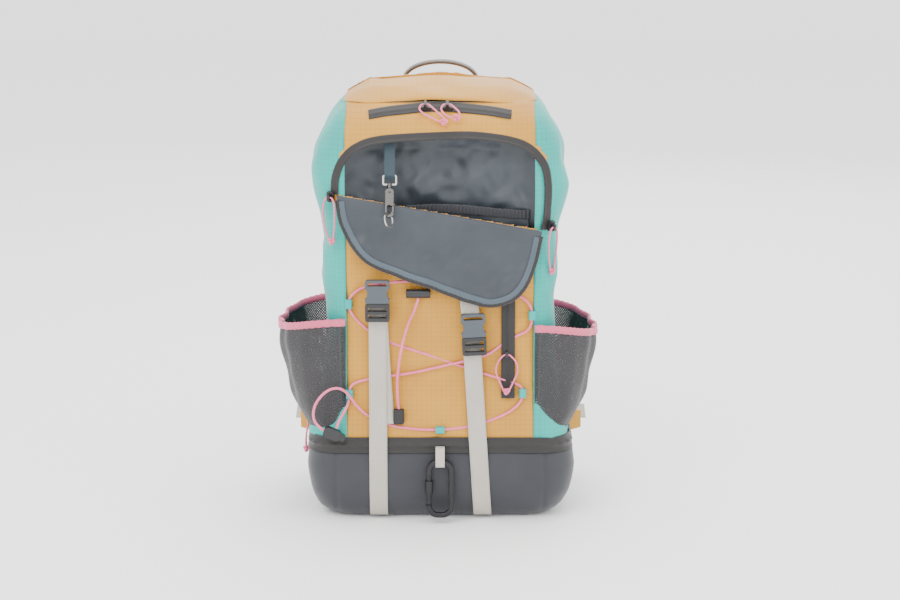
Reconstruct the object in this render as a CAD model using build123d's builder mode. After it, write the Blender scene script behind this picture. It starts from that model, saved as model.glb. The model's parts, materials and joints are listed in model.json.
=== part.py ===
from build123d import *
import math
import os

# A hiking daypack that stands on its own base, in millimetres.
# +Z is up, the front faces -Y, the harness is on the +Y side, +X is the right hand side
# as seen from the front. The origin is on the ground under the middle of the bag.

os.makedirs("parts", exist_ok=True)

# ---------------------------------------------------------------- driving dimensions
body_height = 482.0
base_width = 300.0
waist_width = 258.0
shoulder_width = 280.0
base_front = 95.0  # how far each zone's front stands forward of the origin
panel_front = 80.0
pocket_front = 87.0
back_depth = 90.0
tub_height = 81.0  # top of the coated base tub
band_height = 16.0  # zipped band between the tub and the panels
fold_height = 330.0  # foot of the front pocket's raised front
shoulder_height = 378.0
hood_height = 468.0  # seam under the hood
front_corner = 35.0
back_corner = 24.0

wall = 3.0  # cloth, coating and padding of the shell
back_padding = 10.0
sheet = 1.5  # a single sheet of cloth or a tape
fit_gap = 0.3  # between soft neighbours
seam_x = 104.0  # side seam between the yellow front and the side panels
back_seam_y = 78.0
yoke_y = 70.0  # rear edge of the hood

webbing_width = 20.0
webbing_thickness = 1.5
cord_diameter = 3.0
pull_diameter = 2.0


# ---------------------------------------------------------------- the bag's outer form
def body_rows(grow=0.0, back_grow=None, drop=0.0):
    """Height, half width, front and back of each level of the bag, grown outwards."""
    if back_grow is None:
        back_grow = grow
    base_half = base_width / 2
    waist_half = waist_width / 2
    shoulder_half = shoulder_width / 2
    rows = [
        (0.0, base_half - 22, base_front - 24, back_depth - 12),
        (28.0, base_half - 8, base_front - 5, back_depth),
        (60.0, base_half, base_front, back_depth),
        (tub_height + band_height / 2, base_half - 2, base_front, back_depth),
        (tub_height + 40, waist_half + 7, panel_front + 5, back_depth),
        (200.0, waist_half, panel_front, back_depth),
        (fold_height - 8, waist_half + 1, panel_front, back_depth),
        (fold_height + 4, waist_half + 3, pocket_front, back_depth),
        (shoulder_height, shoulder_half, pocket_front, back_depth),
        (shoulder_height + 37, shoulder_half - 6, pocket_front - 2, back_depth),
        (body_height - 29, shoulder_half - 19, pocket_front - 17, back_depth - 2),
        (body_height - 12, shoulder_half - 36, pocket_front - 41, back_depth - 6),
        (body_height, shoulder_half - 60, pocket_front - 72, back_depth - 16),
    ]
    grown = []
    for z, half, front, back in rows:
        if z == 0.0:
            z = z + drop
        elif z > shoulder_height:
            z = z - drop
        grown.append((z, half + grow, front + grow, back + back_grow))
    return grown


def row_at(z):
    """The bag's half width, front and back at height z."""
    rows = body_rows()
    for low, high in zip(rows, rows[1:]):
        if low[0] <= z <= high[0]:
            share = (z - low[0]) / (high[0] - low[0])
            return [a + share * (b - a) for a, b in zip(low[1:], high[1:])]
    return list(rows[-1][1:])


def front_y(z, grow=0.0):
    """Y of the bag's flat front at height z, grown outwards."""
    return -row_at(z)[1] - grow


def body_solid(grow=0.0, back_grow=None, drop=0.0):
    """The whole bag as one closed form, grown outwards by grow."""
    with BuildPart() as form:
        for z, half, front, back in body_rows(grow, back_grow, drop):
            with BuildSketch(Plane.XY.offset(z)):
                with Locations((0, (back - front) / 2)):
                    Rectangle(2 * half, front + back)
                corners = vertices().group_by(Axis.Y)
                fillet(corners[0], front_corner + grow)
                fillet(corners[-1], back_corner + grow)
        loft(ruled=True)
    return form.part


def block(low, high):
    """A box between two opposite corners, for cutting zones out of the shell."""
    size = [b - a for a, b in zip(low, high)]
    middle = [(a + b) / 2 for a, b in zip(low, high)]
    return Pos(*middle) * Box(*size, mode=Mode.PRIVATE)


def zone(whole, low, high, cutters=()):
    """What of a solid lies in the box from low to high, less the cutters."""
    box = block(low, high)
    with BuildPart() as piece:
        add(whole)
        add(box, mode=Mode.INTERSECT)
        for cutter in cutters:
            add(cutter, mode=Mode.SUBTRACT)
    return piece.part


def finish(part, name):
    """Labels a finished piece and writes its file."""
    part.label = name
    export_step(part, "parts/" + name + ".step")


outer = body_solid()
inner = body_solid(-wall, -back_padding, wall)
shell = outer - inner
clear_body = body_solid(fit_gap)
tape_skin = body_solid(fit_gap + sheet) - clear_body
interior = body_solid(-wall - fit_gap, -back_padding - fit_gap, wall + fit_gap)
far = 400.0
band_top = tub_height + band_height


# ---------------------------------------------------------------- front pocket mouth
# The mouth is a D whose straight side slants down to the right. The flap hangs open
# below that line, in front of the lower panel, and turns up about it to close.
mouth_left = (-113.0, 371.0)
mouth_right = (112.0, 331.0)
mouth_top_left = (-113.0, 431.0)
mouth_top_right = (117.0, 436.0)
mouth_corner = 44.0
mouth_slope = math.atan2(mouth_right[1] - mouth_left[1], mouth_right[0] - mouth_left[0])
flap_axis_y = -(pocket_front + 2.2)
flap_thickness = 2.4


def mouth_face(grow=0.0):
    """The mouth's outline as a flat face in the XZ plane, grown outwards."""
    with BuildSketch(Plane.XZ) as outline:
        with BuildLine():
            Polyline(mouth_left, mouth_top_left, mouth_top_right, mouth_right, close=True)
        make_face()
        corners = outline.vertices().sort_by(Axis.Y)
        fillet(corners[-2:], mouth_corner)
        if grow:
            offset(amount=grow, kind=Kind.ARC)
    return outline.sketch


def mouth_prism(grow=0.0):
    """The mouth's outline carried through the bag's front."""
    face = mouth_face(grow)
    with BuildPart() as prism:
        extrude(face, amount=120)
    return prism.part


mouth_cut = mouth_prism()

# ---------------------------------------------------------------- panels of the shell
# Neighbouring panels meet face to face at their seams.
finish(zone(shell, (-far, -far, -1), (far, far, tub_height)), "base_tub")
finish(zone(shell, (-far, -far, tub_height), (far, far, band_top)), "base_zip_band")
finish(zone(shell, (-far, back_seam_y, band_top), (far, far, hood_height)), "back_panel")
finish(zone(shell, (-far, yoke_y, hood_height), (far, far, far + far)), "hood_yoke")
finish(zone(shell, (-seam_x, -far, band_top), (seam_x, 0, fold_height)), "front_lower_panel")
upper_low, upper_high = (-seam_x, -far, fold_height), (seam_x, 0, hood_height)
finish(zone(shell, upper_low, upper_high, [mouth_cut]), "front_upper_panel")
for side, name in ((-1, "side_panel_left"), (1, "side_panel_right")):
    low_x, high_x = sorted((side * seam_x, side * far))
    side_low, side_high = (low_x, -far, band_top), (high_x, back_seam_y, hood_height)
    finish(zone(shell, side_low, side_high, [mouth_cut]), name)
hood_low, hood_high = (-far, -far, hood_height + fit_gap), (far, yoke_y - fit_gap, far + far)
finish(zone(shell, hood_low, hood_high), "hood")

# ---------------------------------------------------------------- inside the bag
# The lining of the front pocket is a tray: roof, back and floor behind the mouth.
lining_back_y = -60.0
lining_floor_z = fold_height - 4.5
lining_roof_z = mouth_top_right[1] + 2
lining_half = 104.0
with BuildPart() as front_pocket_lining:
    with BuildSketch(Plane.YZ):
        with BuildLine():
            roof_y = front_y(lining_roof_z, -wall - 6)
            floor_y = front_y(lining_floor_z, -wall - 1)
            Polyline(
                (roof_y, lining_roof_z),
                (lining_back_y, lining_roof_z),
                (lining_back_y, lining_floor_z),
                (floor_y, lining_floor_z),
                (floor_y, lining_floor_z + sheet),
                (lining_back_y - sheet, lining_floor_z + sheet),
                (lining_back_y - sheet, lining_roof_z - sheet),
                (roof_y, lining_roof_z - sheet),
                close=True,
            )
        make_face()
    extrude(amount=lining_half, both=True)
finish(front_pocket_lining.part, "front_pocket_lining")

# The organiser is a flat pocket on the lining's back, with a gathered elastic top.
organizer_y = -70.0
organizer_top = 353.0
with BuildPart() as organizer_pocket:
    with BuildSketch(Plane.YZ):
        with BuildLine():
            Polyline(
                (lining_back_y - sheet, lining_floor_z + sheet),
                (organizer_y - sheet, lining_floor_z + sheet),
                (organizer_y - sheet - 1, organizer_top),
                (organizer_y + 1, organizer_top),
                (organizer_y, lining_floor_z + 2 * sheet),
                (lining_back_y - sheet, lining_floor_z + 2 * sheet),
                close=True,
            )
        make_face()
    extrude(amount=lining_half - 4, both=True)
finish(organizer_pocket.part, "organizer_pocket")

floor_low, floor_high = (-far, -far, band_top), (far, far, band_top + sheet)
finish(zone(interior, floor_low, floor_high), "compartment_floor")

frame_sheet_y = back_seam_y - fit_gap
frame_sheet_half = 105.0
frame_sheet_thickness = 1.3
frame_low_z = band_top + 6
with BuildPart() as frame_sheet:
    with BuildSketch(Plane.XZ.offset(-frame_sheet_y)):
        with Locations((0, (frame_low_z + hood_height - 30) / 2)):
            RectangleRounded(2 * frame_sheet_half, hood_height - 30 - frame_low_z, 25)
    extrude(amount=frame_sheet_thickness)
finish(frame_sheet.part, "frame_sheet")

# The sleeve for a water bladder or a laptop hangs on the frame sheet's front.
sleeve_depth = 14.0
sleeve_top = 345.0
with BuildPart() as laptop_sleeve:
    with BuildSketch(Plane.XY.offset(frame_low_z)):
        with BuildLine():
            sleeve_back = frame_sheet_y - frame_sheet_thickness - fit_gap
            sleeve_front = sleeve_back - sleeve_depth
            half = frame_sheet_half - 8
            Polyline(
                (-half, sleeve_back),
                (-half, sleeve_front),
                (half, sleeve_front),
                (half, sleeve_back),
                (half - sheet, sleeve_back),
                (half - sheet, sleeve_front + sheet),
                (-half + sheet, sleeve_front + sheet),
                (-half + sheet, sleeve_back),
                close=True,
            )
        make_face()
    extrude(amount=sleeve_top - frame_low_z)
finish(laptop_sleeve.part, "laptop_sleeve")

# ---------------------------------------------------------------- front pocket flap
# The flap turns about the mouth's straight side. Its plane is vertical when it hangs.
flap_low_left = (-96.0, 300.0)
flap_low_right = (90.0, 231.0)
flap_corner = 40.0
with BuildPart() as front_flap:
    with BuildSketch(Plane.XZ) as flap_outline:
        with BuildLine():
            Polyline(mouth_left, flap_low_left, flap_low_right, mouth_right, close=True)
        make_face()
        fillet(flap_outline.vertices().sort_by(Axis.Y)[:2], flap_corner)
    extrude(amount=flap_thickness / 2, both=True)
finish(Pos(0, flap_axis_y, 0) * front_flap.part, "front_flap")

# ---------------------------------------------------------------- zips on the shell
zip_width = 7.0


def front_tape(x_low, x_high, z_low, z_high):
    """A tape that follows the bag's front between two heights."""
    return zone(tape_skin, (x_low, -far, z_low), (x_high, -10, z_high))


# The coil zip round the pocket's mouth lies on the panel's outside.
zip_prism = mouth_prism(zip_width)
with BuildPart() as front_pocket_zip:
    add(tape_skin)
    add(zip_prism, mode=Mode.INTERSECT)
    add(mouth_cut, mode=Mode.SUBTRACT)
    rise = math.tan(mouth_slope)
    left_x, right_x = mouth_left[0] - 20, mouth_right[0] + 20
    with BuildSketch(Plane.XZ):
        with BuildLine():
            Polyline(
                (left_x, mouth_left[1] - 20 * rise),
                (right_x, mouth_right[1] + 20 * rise),
                (right_x, mouth_right[1] - 60),
                (left_x, mouth_left[1] - 60),
                close=True,
            )
        make_face()
    extrude(amount=200, mode=Mode.SUBTRACT)

side_zip_x = 76.0
side_zip_low = 142.0
side_zip_high = 252.0
main_zip_z = hood_height - 7
main_zip_half = 74.0
zip_tapes = Compound(children=[
    *front_pocket_zip.part.solids(),
    *front_tape(-main_zip_half, main_zip_half, main_zip_z - 3.5, main_zip_z + 3.5).solids(),
    *front_tape(side_zip_x - 8, side_zip_x + 8, side_zip_low, side_zip_high).solids(),
])
finish(zip_tapes, "zip_tapes")


# A zip slider: a flat body on the coil, and a bridge that the pull cord goes through.
slider_width = 8.0
slider_length = 12.0
slider_thickness = 3.0
bridge_hole = 3.0
bridge_height = 5.0
bridge_width = 3.0


def slider_part(across):
    """A slider with its back on the XZ plane and its coil along Z, or along X if across."""
    width, length = (slider_length, slider_width) if across else (slider_width, slider_length)
    with BuildPart() as slider:
        with BuildSketch(Plane.XZ):
            RectangleRounded(width, length, 2)
        extrude(amount=slider_thickness)
        with BuildSketch(Plane.XZ.offset(slider_thickness)):
            Rectangle(bridge_width, bridge_height + 2)
        extrude(amount=bridge_height)
        with BuildSketch(Plane.YZ.offset(-bridge_width)):
            with Locations((-slider_thickness - bridge_height / 2, 0)):
                Circle(bridge_hole / 2)
        extrude(amount=2 * bridge_width, mode=Mode.SUBTRACT)
    return slider.part


def tube(points, diameter, name, turn_share=0.45):
    """A cord as straight runs joined by arcs, each as large as its two runs allow."""
    radii = []
    for before, here, after in zip(points, points[1:], points[2:]):
        first = Vector(*here) - Vector(*before)
        second = Vector(*after) - Vector(*here)
        turn = math.radians(first.get_angle(second))
        radii.append(turn_share * min(first.length, second.length) / math.tan(turn / 2))
    print(name, "radii", [round(r, 1) for r in radii])
    with BuildLine() as path:
        FilletPolyline(*points, radius=radii)
    start = Plane(origin=path.wire() @ 0, z_dir=path.wire() % 0)
    with BuildPart() as cord:
        with BuildSketch(start):
            Circle(diameter / 2)
        sweep(path=path.wire())
    length = path.wire().length
    share = cord.part.volume / (math.pi * diameter**2 / 4 * length)
    print(name, "length", round(length, 1), "volume share", round(share, 4))
    return cord.part


# Each slider stands on its tape. The pull cord is a loop through the bridge whose two
# ends meet in a knot, and its points are steps from the middle of the bridge's hole.
tape_out = fit_gap + sheet + fit_gap
hole_out = slider_thickness + bridge_height / 2
over = [(-5.5, 0, -2.5), (-2.6, 0, 0), (2.6, 0, 0), (5.5, 0, -2.5)]
over_out = [(-5.5, -2.4, -1.4), (-2.6, 0, 0), (2.6, 0, 0), (5.5, -2.4, -1.4)]


def corner_turn(x, z):
    """How far the cloth has turned round the bag's front corner at this place, in radians."""
    beyond = max(abs(x) - (row_at(z)[0] - front_corner), 0.0)
    return math.copysign(math.asin(beyond / front_corner), x)


def seat(x, z):
    """Where a slider stands on the bag's front or its corner, square to the cloth."""
    half_slope, front_slope, _ = [(b - a) / 8 for a, b in zip(row_at(z - 4), row_at(z + 4))]
    turn = corner_turn(x, z)
    lean = -math.atan(front_slope * math.cos(turn) + half_slope * math.sin(abs(turn)))
    inward = front_corner * (1 - math.cos(turn))
    face = Pos(x, front_y(z) + inward, z) * Rot(0, 0, math.degrees(turn))
    return face * Rot(-math.degrees(lean), 0, 0) * Pos(0, -tape_out, 0)


band_middle = tub_height + band_height / 2
base_slider = Pos(-(base_width / 2 - 2 + tape_out), 40.0, band_middle) * Rot(0, 0, -90)
pulls = {
    "pocket_left": (
        seat(mouth_left[0] - 5, mouth_left[1] - 2), False,
        [(-3, 7, -52), (-8, 4, -38), (-9, 2, -24), (-8, 0, -10)] + over
        + [(7, 0, -10), (6, 2, -24), (3.5, 4, -38), (0.5, 7, -52)],
    ),
    "pocket_right": (
        seat(mouth_right[0] + 8, mouth_right[1] + 5), False,
        [(8, 9, -54), (2, 7, -40), (-4, 4, -24), (-7, 1, -10)] + over
        + [(9, 1, -10), (12, 4, -24), (13, 7, -40), (11.5, 9, -54)],
    ),
    "main_left": (
        seat(-16.0, main_zip_z), True,
        [(20, -15, -19), (8, -15, -14), (-2, -11, -9), (-7, -6, -5)] + over_out
        + [(10, -6, -5), (15, -11, -9), (20, -15, -13), (24, -16, -18)],
    ),
    "main_right": (
        seat(8.0, main_zip_z), True,
        [(9, -15, -14), (2, -15, -13), (-5, -11, -8), (-7, -6, -4)] + over_out
        + [(8, -6, -3), (12, -11, -6), (14, -15, -9), (12.5, -16, -13)],
    ),
    "side_zip": (
        seat(side_zip_x - 2.0, 191.0), False,
        [(-2, -5, -43), (-8, -4.5, -30), (-13, -2, -18), (-10, 0, -8)] + over
        + [(10, 0, -7), (13, -2, -17), (8, -4.5, -29), (1, -5, -43)],
    ),
    "base_zip": (
        base_slider, True,
        [(-2, -3, -44), (-7, -4, -33), (-8, -3, -20), (-7, 0, -9)] + over
        + [(7, 0, -9), (7, -2, -20), (5, -4, -33), (0.5, -3, -44)],
    ),
}
for key, (place, across, route) in pulls.items():
    finish(place * slider_part(across), key + "_slider")
    hole = place * Pos(0, -hole_out, 0)
    turn = -90.0 if key == "base_zip" else math.degrees(corner_turn(hole.position.X, hole.position.Z))
    facing = Rot(0, 0, turn)
    points = [tuple((Pos(*tuple(hole.position)) * facing * Pos(*step)).position) for step in route]
    finish(tube(points, pull_diameter, key + "_pull"), key + "_pull")

# ---------------------------------------------------------------- mesh side pockets
mesh_thickness = 2.0
mesh_bottom = band_top + 2
binding_height = 7.0
pockets = (
    (-1, "mesh_pocket_left", base_width / 2 + 32, 228.0),
    (1, "mesh_pocket_right", base_width / 2 + 26, 221.0),
)
bindings = []


def pocket_outline(side, reach, inset, z):
    """The pocket's plan: a bulge from the front corner round to the back corner."""
    with BuildSketch(Plane.XY.offset(z)) as plan:
        with BuildLine():
            front_x = waist_width / 2 - front_corner + 12
            Polyline(
                (side * (front_x + inset), -(base_front - 8 - inset)),
                (side * (reach - 18), -(base_front - 26 - inset)),
                (side * (reach - inset), -(base_front - 60)),
                (side * (reach - inset), 30),
                (side * (reach - 26 - inset), 70 - inset),
                (side * (waist_width / 2 - 20), 72 - inset),
                (side * (waist_width / 2 - 30), -20),
                close=True,
            )
        make_face()
        rim = plan.vertices().filter_by(lambda v: abs(v.X) > reach - 30)
        fillet(rim, 18 - inset)
    return plan.sketch


for side, name, reach, top in pockets:
    rim = pocket_outline(side, reach, 0, mesh_bottom)
    hollow = pocket_outline(side, reach, mesh_thickness, mesh_bottom + mesh_thickness)
    with BuildPart() as pocket:
        extrude(rim, amount=top - mesh_bottom)
        extrude(hollow, amount=far, mode=Mode.SUBTRACT)
        add(clear_body, mode=Mode.SUBTRACT)
    finish(pocket.part, name)
    rim = pocket_outline(side, reach, 0, top)
    hollow = pocket_outline(side, reach, mesh_thickness, top - 1)
    with BuildPart() as binding:
        extrude(rim, amount=binding_height)
        extrude(hollow, amount=far, mode=Mode.SUBTRACT)
        add(clear_body, mode=Mode.SUBTRACT)
    bindings.append(binding.part)
pocket_bindings = Compound(children=[solid for part in bindings for solid in part.solids()])
finish(pocket_bindings, "pocket_bindings")

# ---------------------------------------------------------------- front straps, buckles
strap_out = 8.0  # the straps pass over the lacing
strap_top = 298.0
left_strap_x = -69.0
right_strap_top_x = 33.0
right_strap_low_x = 48.0
strap_low = 8.0


def strap_profile(top):
    """Side profile of a front strap: tight on the base, over the lacing above it."""
    turn = tub_height + band_height / 2
    near = 2 * fit_gap
    outs = [
        (top, near), (top - 13, 3.9), (top - 52, 5.4), (top - 60, strap_out),
        (200.0, strap_out), (turn + 32, strap_out - 2.0), (turn, near), (60.0, near), (28.0, near), (strap_low, near),
    ]
    back = [(front_y(z, out), z) for z, out in outs]
    front = [(y - webbing_thickness, z) for y, z in reversed(back)]
    return back + front


def strap_part(top_x, low_x, top):
    """A webbing strap down the front, slanting from top_x to low_x."""
    lean = math.atan2(low_x - top_x, top - strap_low)
    plane = Plane(origin=(low_x, 0, strap_low), x_dir=(0, 1, 0),
                  z_dir=(math.cos(lean), 0, math.sin(lean)))
    with BuildPart() as strap:
        with BuildSketch(plane):
            with BuildLine():
                run = [(y, (z - strap_low) / math.cos(lean)) for y, z in strap_profile(top)]
                Polyline(*run, close=True)
            make_face()
        extrude(amount=webbing_width / 2, both=True)
    return strap.part


# A side release buckle for 20 mm webbing: the female is the upper half.
buckle_width = 27.0
buckle_thickness = 8.0
female_length = 26.0
male_length = 20.0
arm_length = 15.0
arm_width = 4.0
arm_thickness = 4.0
guide_width = 5.0
slot_height = 4.5
cavity_gap = 0.5


def female_part(width=buckle_width):
    """The female half, mouth down, its mouth at the origin, back on the XZ plane."""
    with BuildPart() as female:
        with BuildSketch(Plane.XZ):
            with Locations((0, female_length / 2)):
                RectangleRounded(width, female_length, 3)
            for side in (-1, 1):
                with Locations((side * width / 2, female_length * 0.42)):
                    Ellipse(2.6, 6.0, mode=Mode.SUBTRACT)
        extrude(amount=buckle_thickness)
        fillet(female.edges().filter_by(GeomType.LINE).group_by(Axis.Y)[0], 0.8)
        with BuildSketch(Plane.XY):
            with Locations((0, -buckle_thickness / 2)):
                cavity_width = width - 2 * 2.6
                Rectangle(cavity_width, arm_thickness + 2 * cavity_gap)
        extrude(amount=arm_length + 2, mode=Mode.SUBTRACT)
        with BuildSketch(Plane.XZ):
            with Locations((0, female_length - 4.5)):
                Rectangle(width - 6, 3.6)
        extrude(amount=buckle_thickness, mode=Mode.SUBTRACT)
    return female.part


def male_part(width=buckle_width):
    """The male half: two arms and a guide that point up, and a two bar web lock."""
    with BuildPart() as male:
        with BuildSketch(Plane.XZ):
            with Locations((0, -male_length / 2 - fit_gap)):
                RectangleRounded(width, male_length, 3)
            for row in (-6.5, -14.0):
                with Locations((0, row)):
                    Rectangle(width - 6, slot_height, mode=Mode.SUBTRACT)
        extrude(amount=buckle_thickness)
        arm_y = -buckle_thickness / 2
        with BuildSketch(Plane.XY.offset(-fit_gap - 1)):
            arm_x = width / 2 - 2.6 - cavity_gap - arm_width / 2
            with Locations((-arm_x, arm_y), (arm_x, arm_y)):
                Rectangle(arm_width, arm_thickness)
            with Locations((0, arm_y)):
                Rectangle(guide_width, arm_thickness)
        extrude(amount=arm_length + 1)
    return male.part


left_buckle_z = 251.0
right_buckle_z = 213.0


def strap_x(z):
    """Centre of the slanting right strap at height z."""
    share = (z - strap_low) / (strap_top - strap_low)
    return right_strap_low_x + share * (right_strap_top_x - right_strap_low_x)


def on_strap(part, x, z, slant):
    """Seats a buckle half on its strap, leaning with it."""
    return Pos(x, front_y(z, strap_out + webbing_thickness + 2 * fit_gap), z) * Rot(0, slant, 0) * part


right_slant = math.degrees(math.atan2(right_strap_top_x - right_strap_low_x, strap_top - strap_low))
straps = Compound(children=[
    *strap_part(left_strap_x, left_strap_x, strap_top).solids(),
    *strap_part(right_strap_top_x, right_strap_low_x, strap_top).solids(),
])
finish(straps, "front_straps")
right_buckle_x = strap_x(right_buckle_z)
females = Compound(children=[
    *on_strap(female_part(), left_strap_x, left_buckle_z, 0).solids(),
    *on_strap(female_part(), right_buckle_x, right_buckle_z, right_slant).solids(),
])
finish(females, "front_buckle_females")
finish(on_strap(male_part(), left_strap_x, left_buckle_z, 0), "front_buckle_male_left")
finish(on_strap(male_part(), right_buckle_x, right_buckle_z, right_slant), "front_buckle_male_right")

# ---------------------------------------------------------------- lacing and its fittings
lace_y = -(panel_front + 2.0)
loop_hole = cord_diameter / 2 + 0.8
loop_wall = 1.6
loop_height = 10.0
# The side loops hold the lacing upright; the one at the bottom holds it level.
side_loops = [(-101.0, -82.2, 248.0), (102.0, -82.2, 235.0), (-101.0, -85.6, 146.0), (92.0, -85.2, 147.0)]
low_loop = (0.0, -91.6, 106.0)
finish(tube([
    (-115.4, -99.8, 109.8), (-112.5, -97.5, 118.5), (-106, -91.6, 128), (-101.2, -85.9, 137.5),
    (-101, -85.6, 155), (-90, -85.2, 161), (-62, -86.0, 166),
    (-30, -86.0, 170), (2, -85.9, 178), (30, -85.9, 184), (54, -85.0, 191),
    (66, -83.8, 200), (84, -83.8, 212), (96, -83.0, 216), (102, -82.2, 225),
    (102, -82.2, 245), (88, -82, 258), (60, -82, 266), (25, -82, 270), (-12, -82, 274),
    (-50, -82, 273), (-84, -82, 268), (-101, -82.2, 256), (-101, -82.2, 240),
    (-86, -82.2, 222), (-58, -82, 204), (-25, -82.4, 194), (10, -83.1, 182),
    (42, -83.9, 171), (66, -86.6, 164), (86, -86.3, 158), (92, -85.2, 152),
    (92, -85.6, 140), (82, -86.9, 128), (62, -88.2, 118), (36, -90.6, 110),
    (6, -91.6, 106.1), (-26, -91.4, 106.2), (-58, -90.2, 111), (-82, -88.3, 122),
    (-93, -90.5, 133), (-99, -92, 143), (-105, -93.5, 151), (-113, -95, 155.5),
    (-123, -96.5, 154), (-132, -98, 147), (-139, -99, 137), (-141.5, -99.5, 125),
    (-138, -99.8, 114), (-129.5, -99.8, 108),
], cord_diameter, "bungee_cord"), "bungee_cord")
with BuildPart() as cord_loops:
    reach = 2 * (loop_hole + loop_wall)
    for x, y, z in side_loops:
        with BuildSketch(Plane.XY.offset(z - loop_height / 2)):
            with Locations((x, y)):
                RectangleRounded(reach, reach - 0.6, 1.8)
                Circle(loop_hole, mode=Mode.SUBTRACT)
        extrude(amount=loop_height)
    with BuildSketch(Plane.YZ.offset(low_loop[0] - loop_height / 2)):
        with Locations((low_loop[1], low_loop[2])):
            RectangleRounded(reach - 0.6, reach, 1.8)
            Circle(loop_hole, mode=Mode.SUBTRACT)
    extrude(amount=loop_height)
    add(clear_body, mode=Mode.SUBTRACT)
finish(cord_loops.part, "cord_loops")

# The doubled cord down the middle runs from a barrel toggle to a moulded end cap.
toggle_place = (-24.0, lace_y - 7.2, 261.0)
toggle_radius = 5.0
toggle_length = 27.0
with BuildPart() as cord_toggle:
    with BuildSketch(Plane.YZ.offset(toggle_place[0] - toggle_length / 2)):
        with Locations((toggle_place[1], toggle_place[2])):
            Circle(toggle_radius)
    extrude(amount=toggle_length)
    fillet(cord_toggle.edges().filter_by(GeomType.CIRCLE), 1.2)
finish(cord_toggle.part, "cord_toggle")

cap_place = (-46.0, -92.4, 130.0)
cap_width = 12.0
cap_depth = 7.0
cap_height = 17.0
with BuildPart() as cord_end_cap:
    with BuildSketch(Plane.XY.offset(cap_place[2] - cap_height)):
        with Locations((cap_place[0], cap_place[1])):
            RectangleRounded(cap_width, cap_depth, 3)
    extrude(amount=cap_height)
    fillet(cord_end_cap.edges().group_by(Axis.Z)[0], 2.5)
finish(cord_end_cap.part, "cord_end_cap")
finish(tube([
    (-46, -92, 130.3), (-48, -91.6, 149), (-47, -91.4, 172), (-43, -91, 200),
    (-36, -90.4, 226), (-27, -89.6, 244), (-24, -89.2, 255.7),
], cord_diameter, "center_bungee"), "center_bungee")

# The cord lock squeezes the lacing's two ends on the left corner above the base band.
lock_place = (-120.0, -99.8, 104.0)
lock_tilt = 23.0
lock_size = (20.0, 8.0, 12.0)
button_size = (15.0, 5.0, 8.0)
button_travel = 4.5
button_gap = 0.25
lock_end = lock_size[0] / 2
button_end = lock_end + 5.0
cavity_end = button_end - button_size[0] - button_travel - button_gap
lock_frame = Pos(*lock_place) * Rot(0, lock_tilt, 0)
with BuildPart() as cord_lock_body:
    Box(*lock_size)
    fillet(cord_lock_body.edges().filter_by(Axis.Y), 4.5)
    with Locations(((lock_end + cavity_end) / 2, 0, 0)):
        Box(lock_end - cavity_end, button_size[1] + 2 * button_gap, button_size[2] + 2 * button_gap,
            mode=Mode.SUBTRACT)
finish(lock_frame * cord_lock_body.part, "cord_lock_body")
with BuildPart() as cord_lock_button:
    Box(*button_size)
    fillet(cord_lock_button.edges().filter_by(Axis.Y).group_by(Axis.X)[-1], 2.5)
finish(lock_frame * Pos(button_end - button_size[0] / 2, 0, 0) * cord_lock_button.part, "cord_lock_button")

# ---------------------------------------------------------------- gear loop, carabiner
rod = 6.0
loop_inner = 8.6
gear_loop_z = 66.0
gear_loop_y = -(base_front + fit_gap)
with BuildPart() as gear_loop:
    with BuildSketch(Plane.YZ.offset(-5.0)):
        depth = loop_inner + 2 * webbing_thickness
        height = band_top - 8 - gear_loop_z
        with Locations((gear_loop_y - depth / 2, gear_loop_z + height / 2)):
            RectangleRounded(depth, height, 3.5)
            RectangleRounded(loop_inner, height - 2 * webbing_thickness, 2.4, mode=Mode.SUBTRACT)
    extrude(amount=10)
finish(gear_loop.part, "gear_loop")

carabiner_y = gear_loop_y - webbing_thickness - loop_inner / 2
carabiner_top = gear_loop_z + webbing_thickness + 3 * fit_gap + rod
carabiner_bottom = 7.0
carabiner_half = 15.5
gate_low = 22.0
gate_high = 56.0
gate_cut = 0.4
gate_x = -carabiner_half + rod / 2
gate_slope = 1.0
with BuildPart() as carabiner_blank:
    with BuildSketch(Plane.XZ.offset(-carabiner_y)):
        middle = (carabiner_top + carabiner_bottom) / 2
        with Locations((0, middle)):
            RectangleRounded(2 * carabiner_half, carabiner_top - carabiner_bottom, 13)
            inner_half = carabiner_half - rod
            inner_height = carabiner_top - carabiner_bottom - 2 * rod
            RectangleRounded(2 * inner_half, inner_height, 7.5, mode=Mode.SUBTRACT)
    extrude(amount=rod / 2, both=True)
    fillet(carabiner_blank.edges().group_by(Axis.Y)[0], 2.0)
    fillet(carabiner_blank.edges().group_by(Axis.Y)[-1], 2.0)
gate_zone_low = (-far, -far, gate_low)
body_of_carabiner = carabiner_blank.part - block(gate_zone_low, (0, far, gate_high))
finish(body_of_carabiner, "carabiner_body")
with BuildPart() as carabiner_gate:
    with BuildSketch(Plane.XY.offset(gate_low + 2 * gate_cut)):
        with Locations((gate_x, carabiner_y)):
            Circle(rod / 2 - 0.4)
    extrude(amount=gate_high - gate_low - 3 * gate_cut)
finish(carabiner_gate.part, "carabiner_gate")
sleeve_length = 14.0
sleeve_low = 36.0
with BuildPart() as carabiner_sleeve:
    with BuildSketch(Plane.XY.offset(sleeve_low)):
        with Locations((gate_x, carabiner_y)):
            Circle(rod / 2 + 1.4)
            Circle(rod / 2 - 0.4 + 0.08, mode=Mode.SUBTRACT)
    extrude(amount=sleeve_length)
finish(carabiner_sleeve.part, "carabiner_sleeve")

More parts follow.
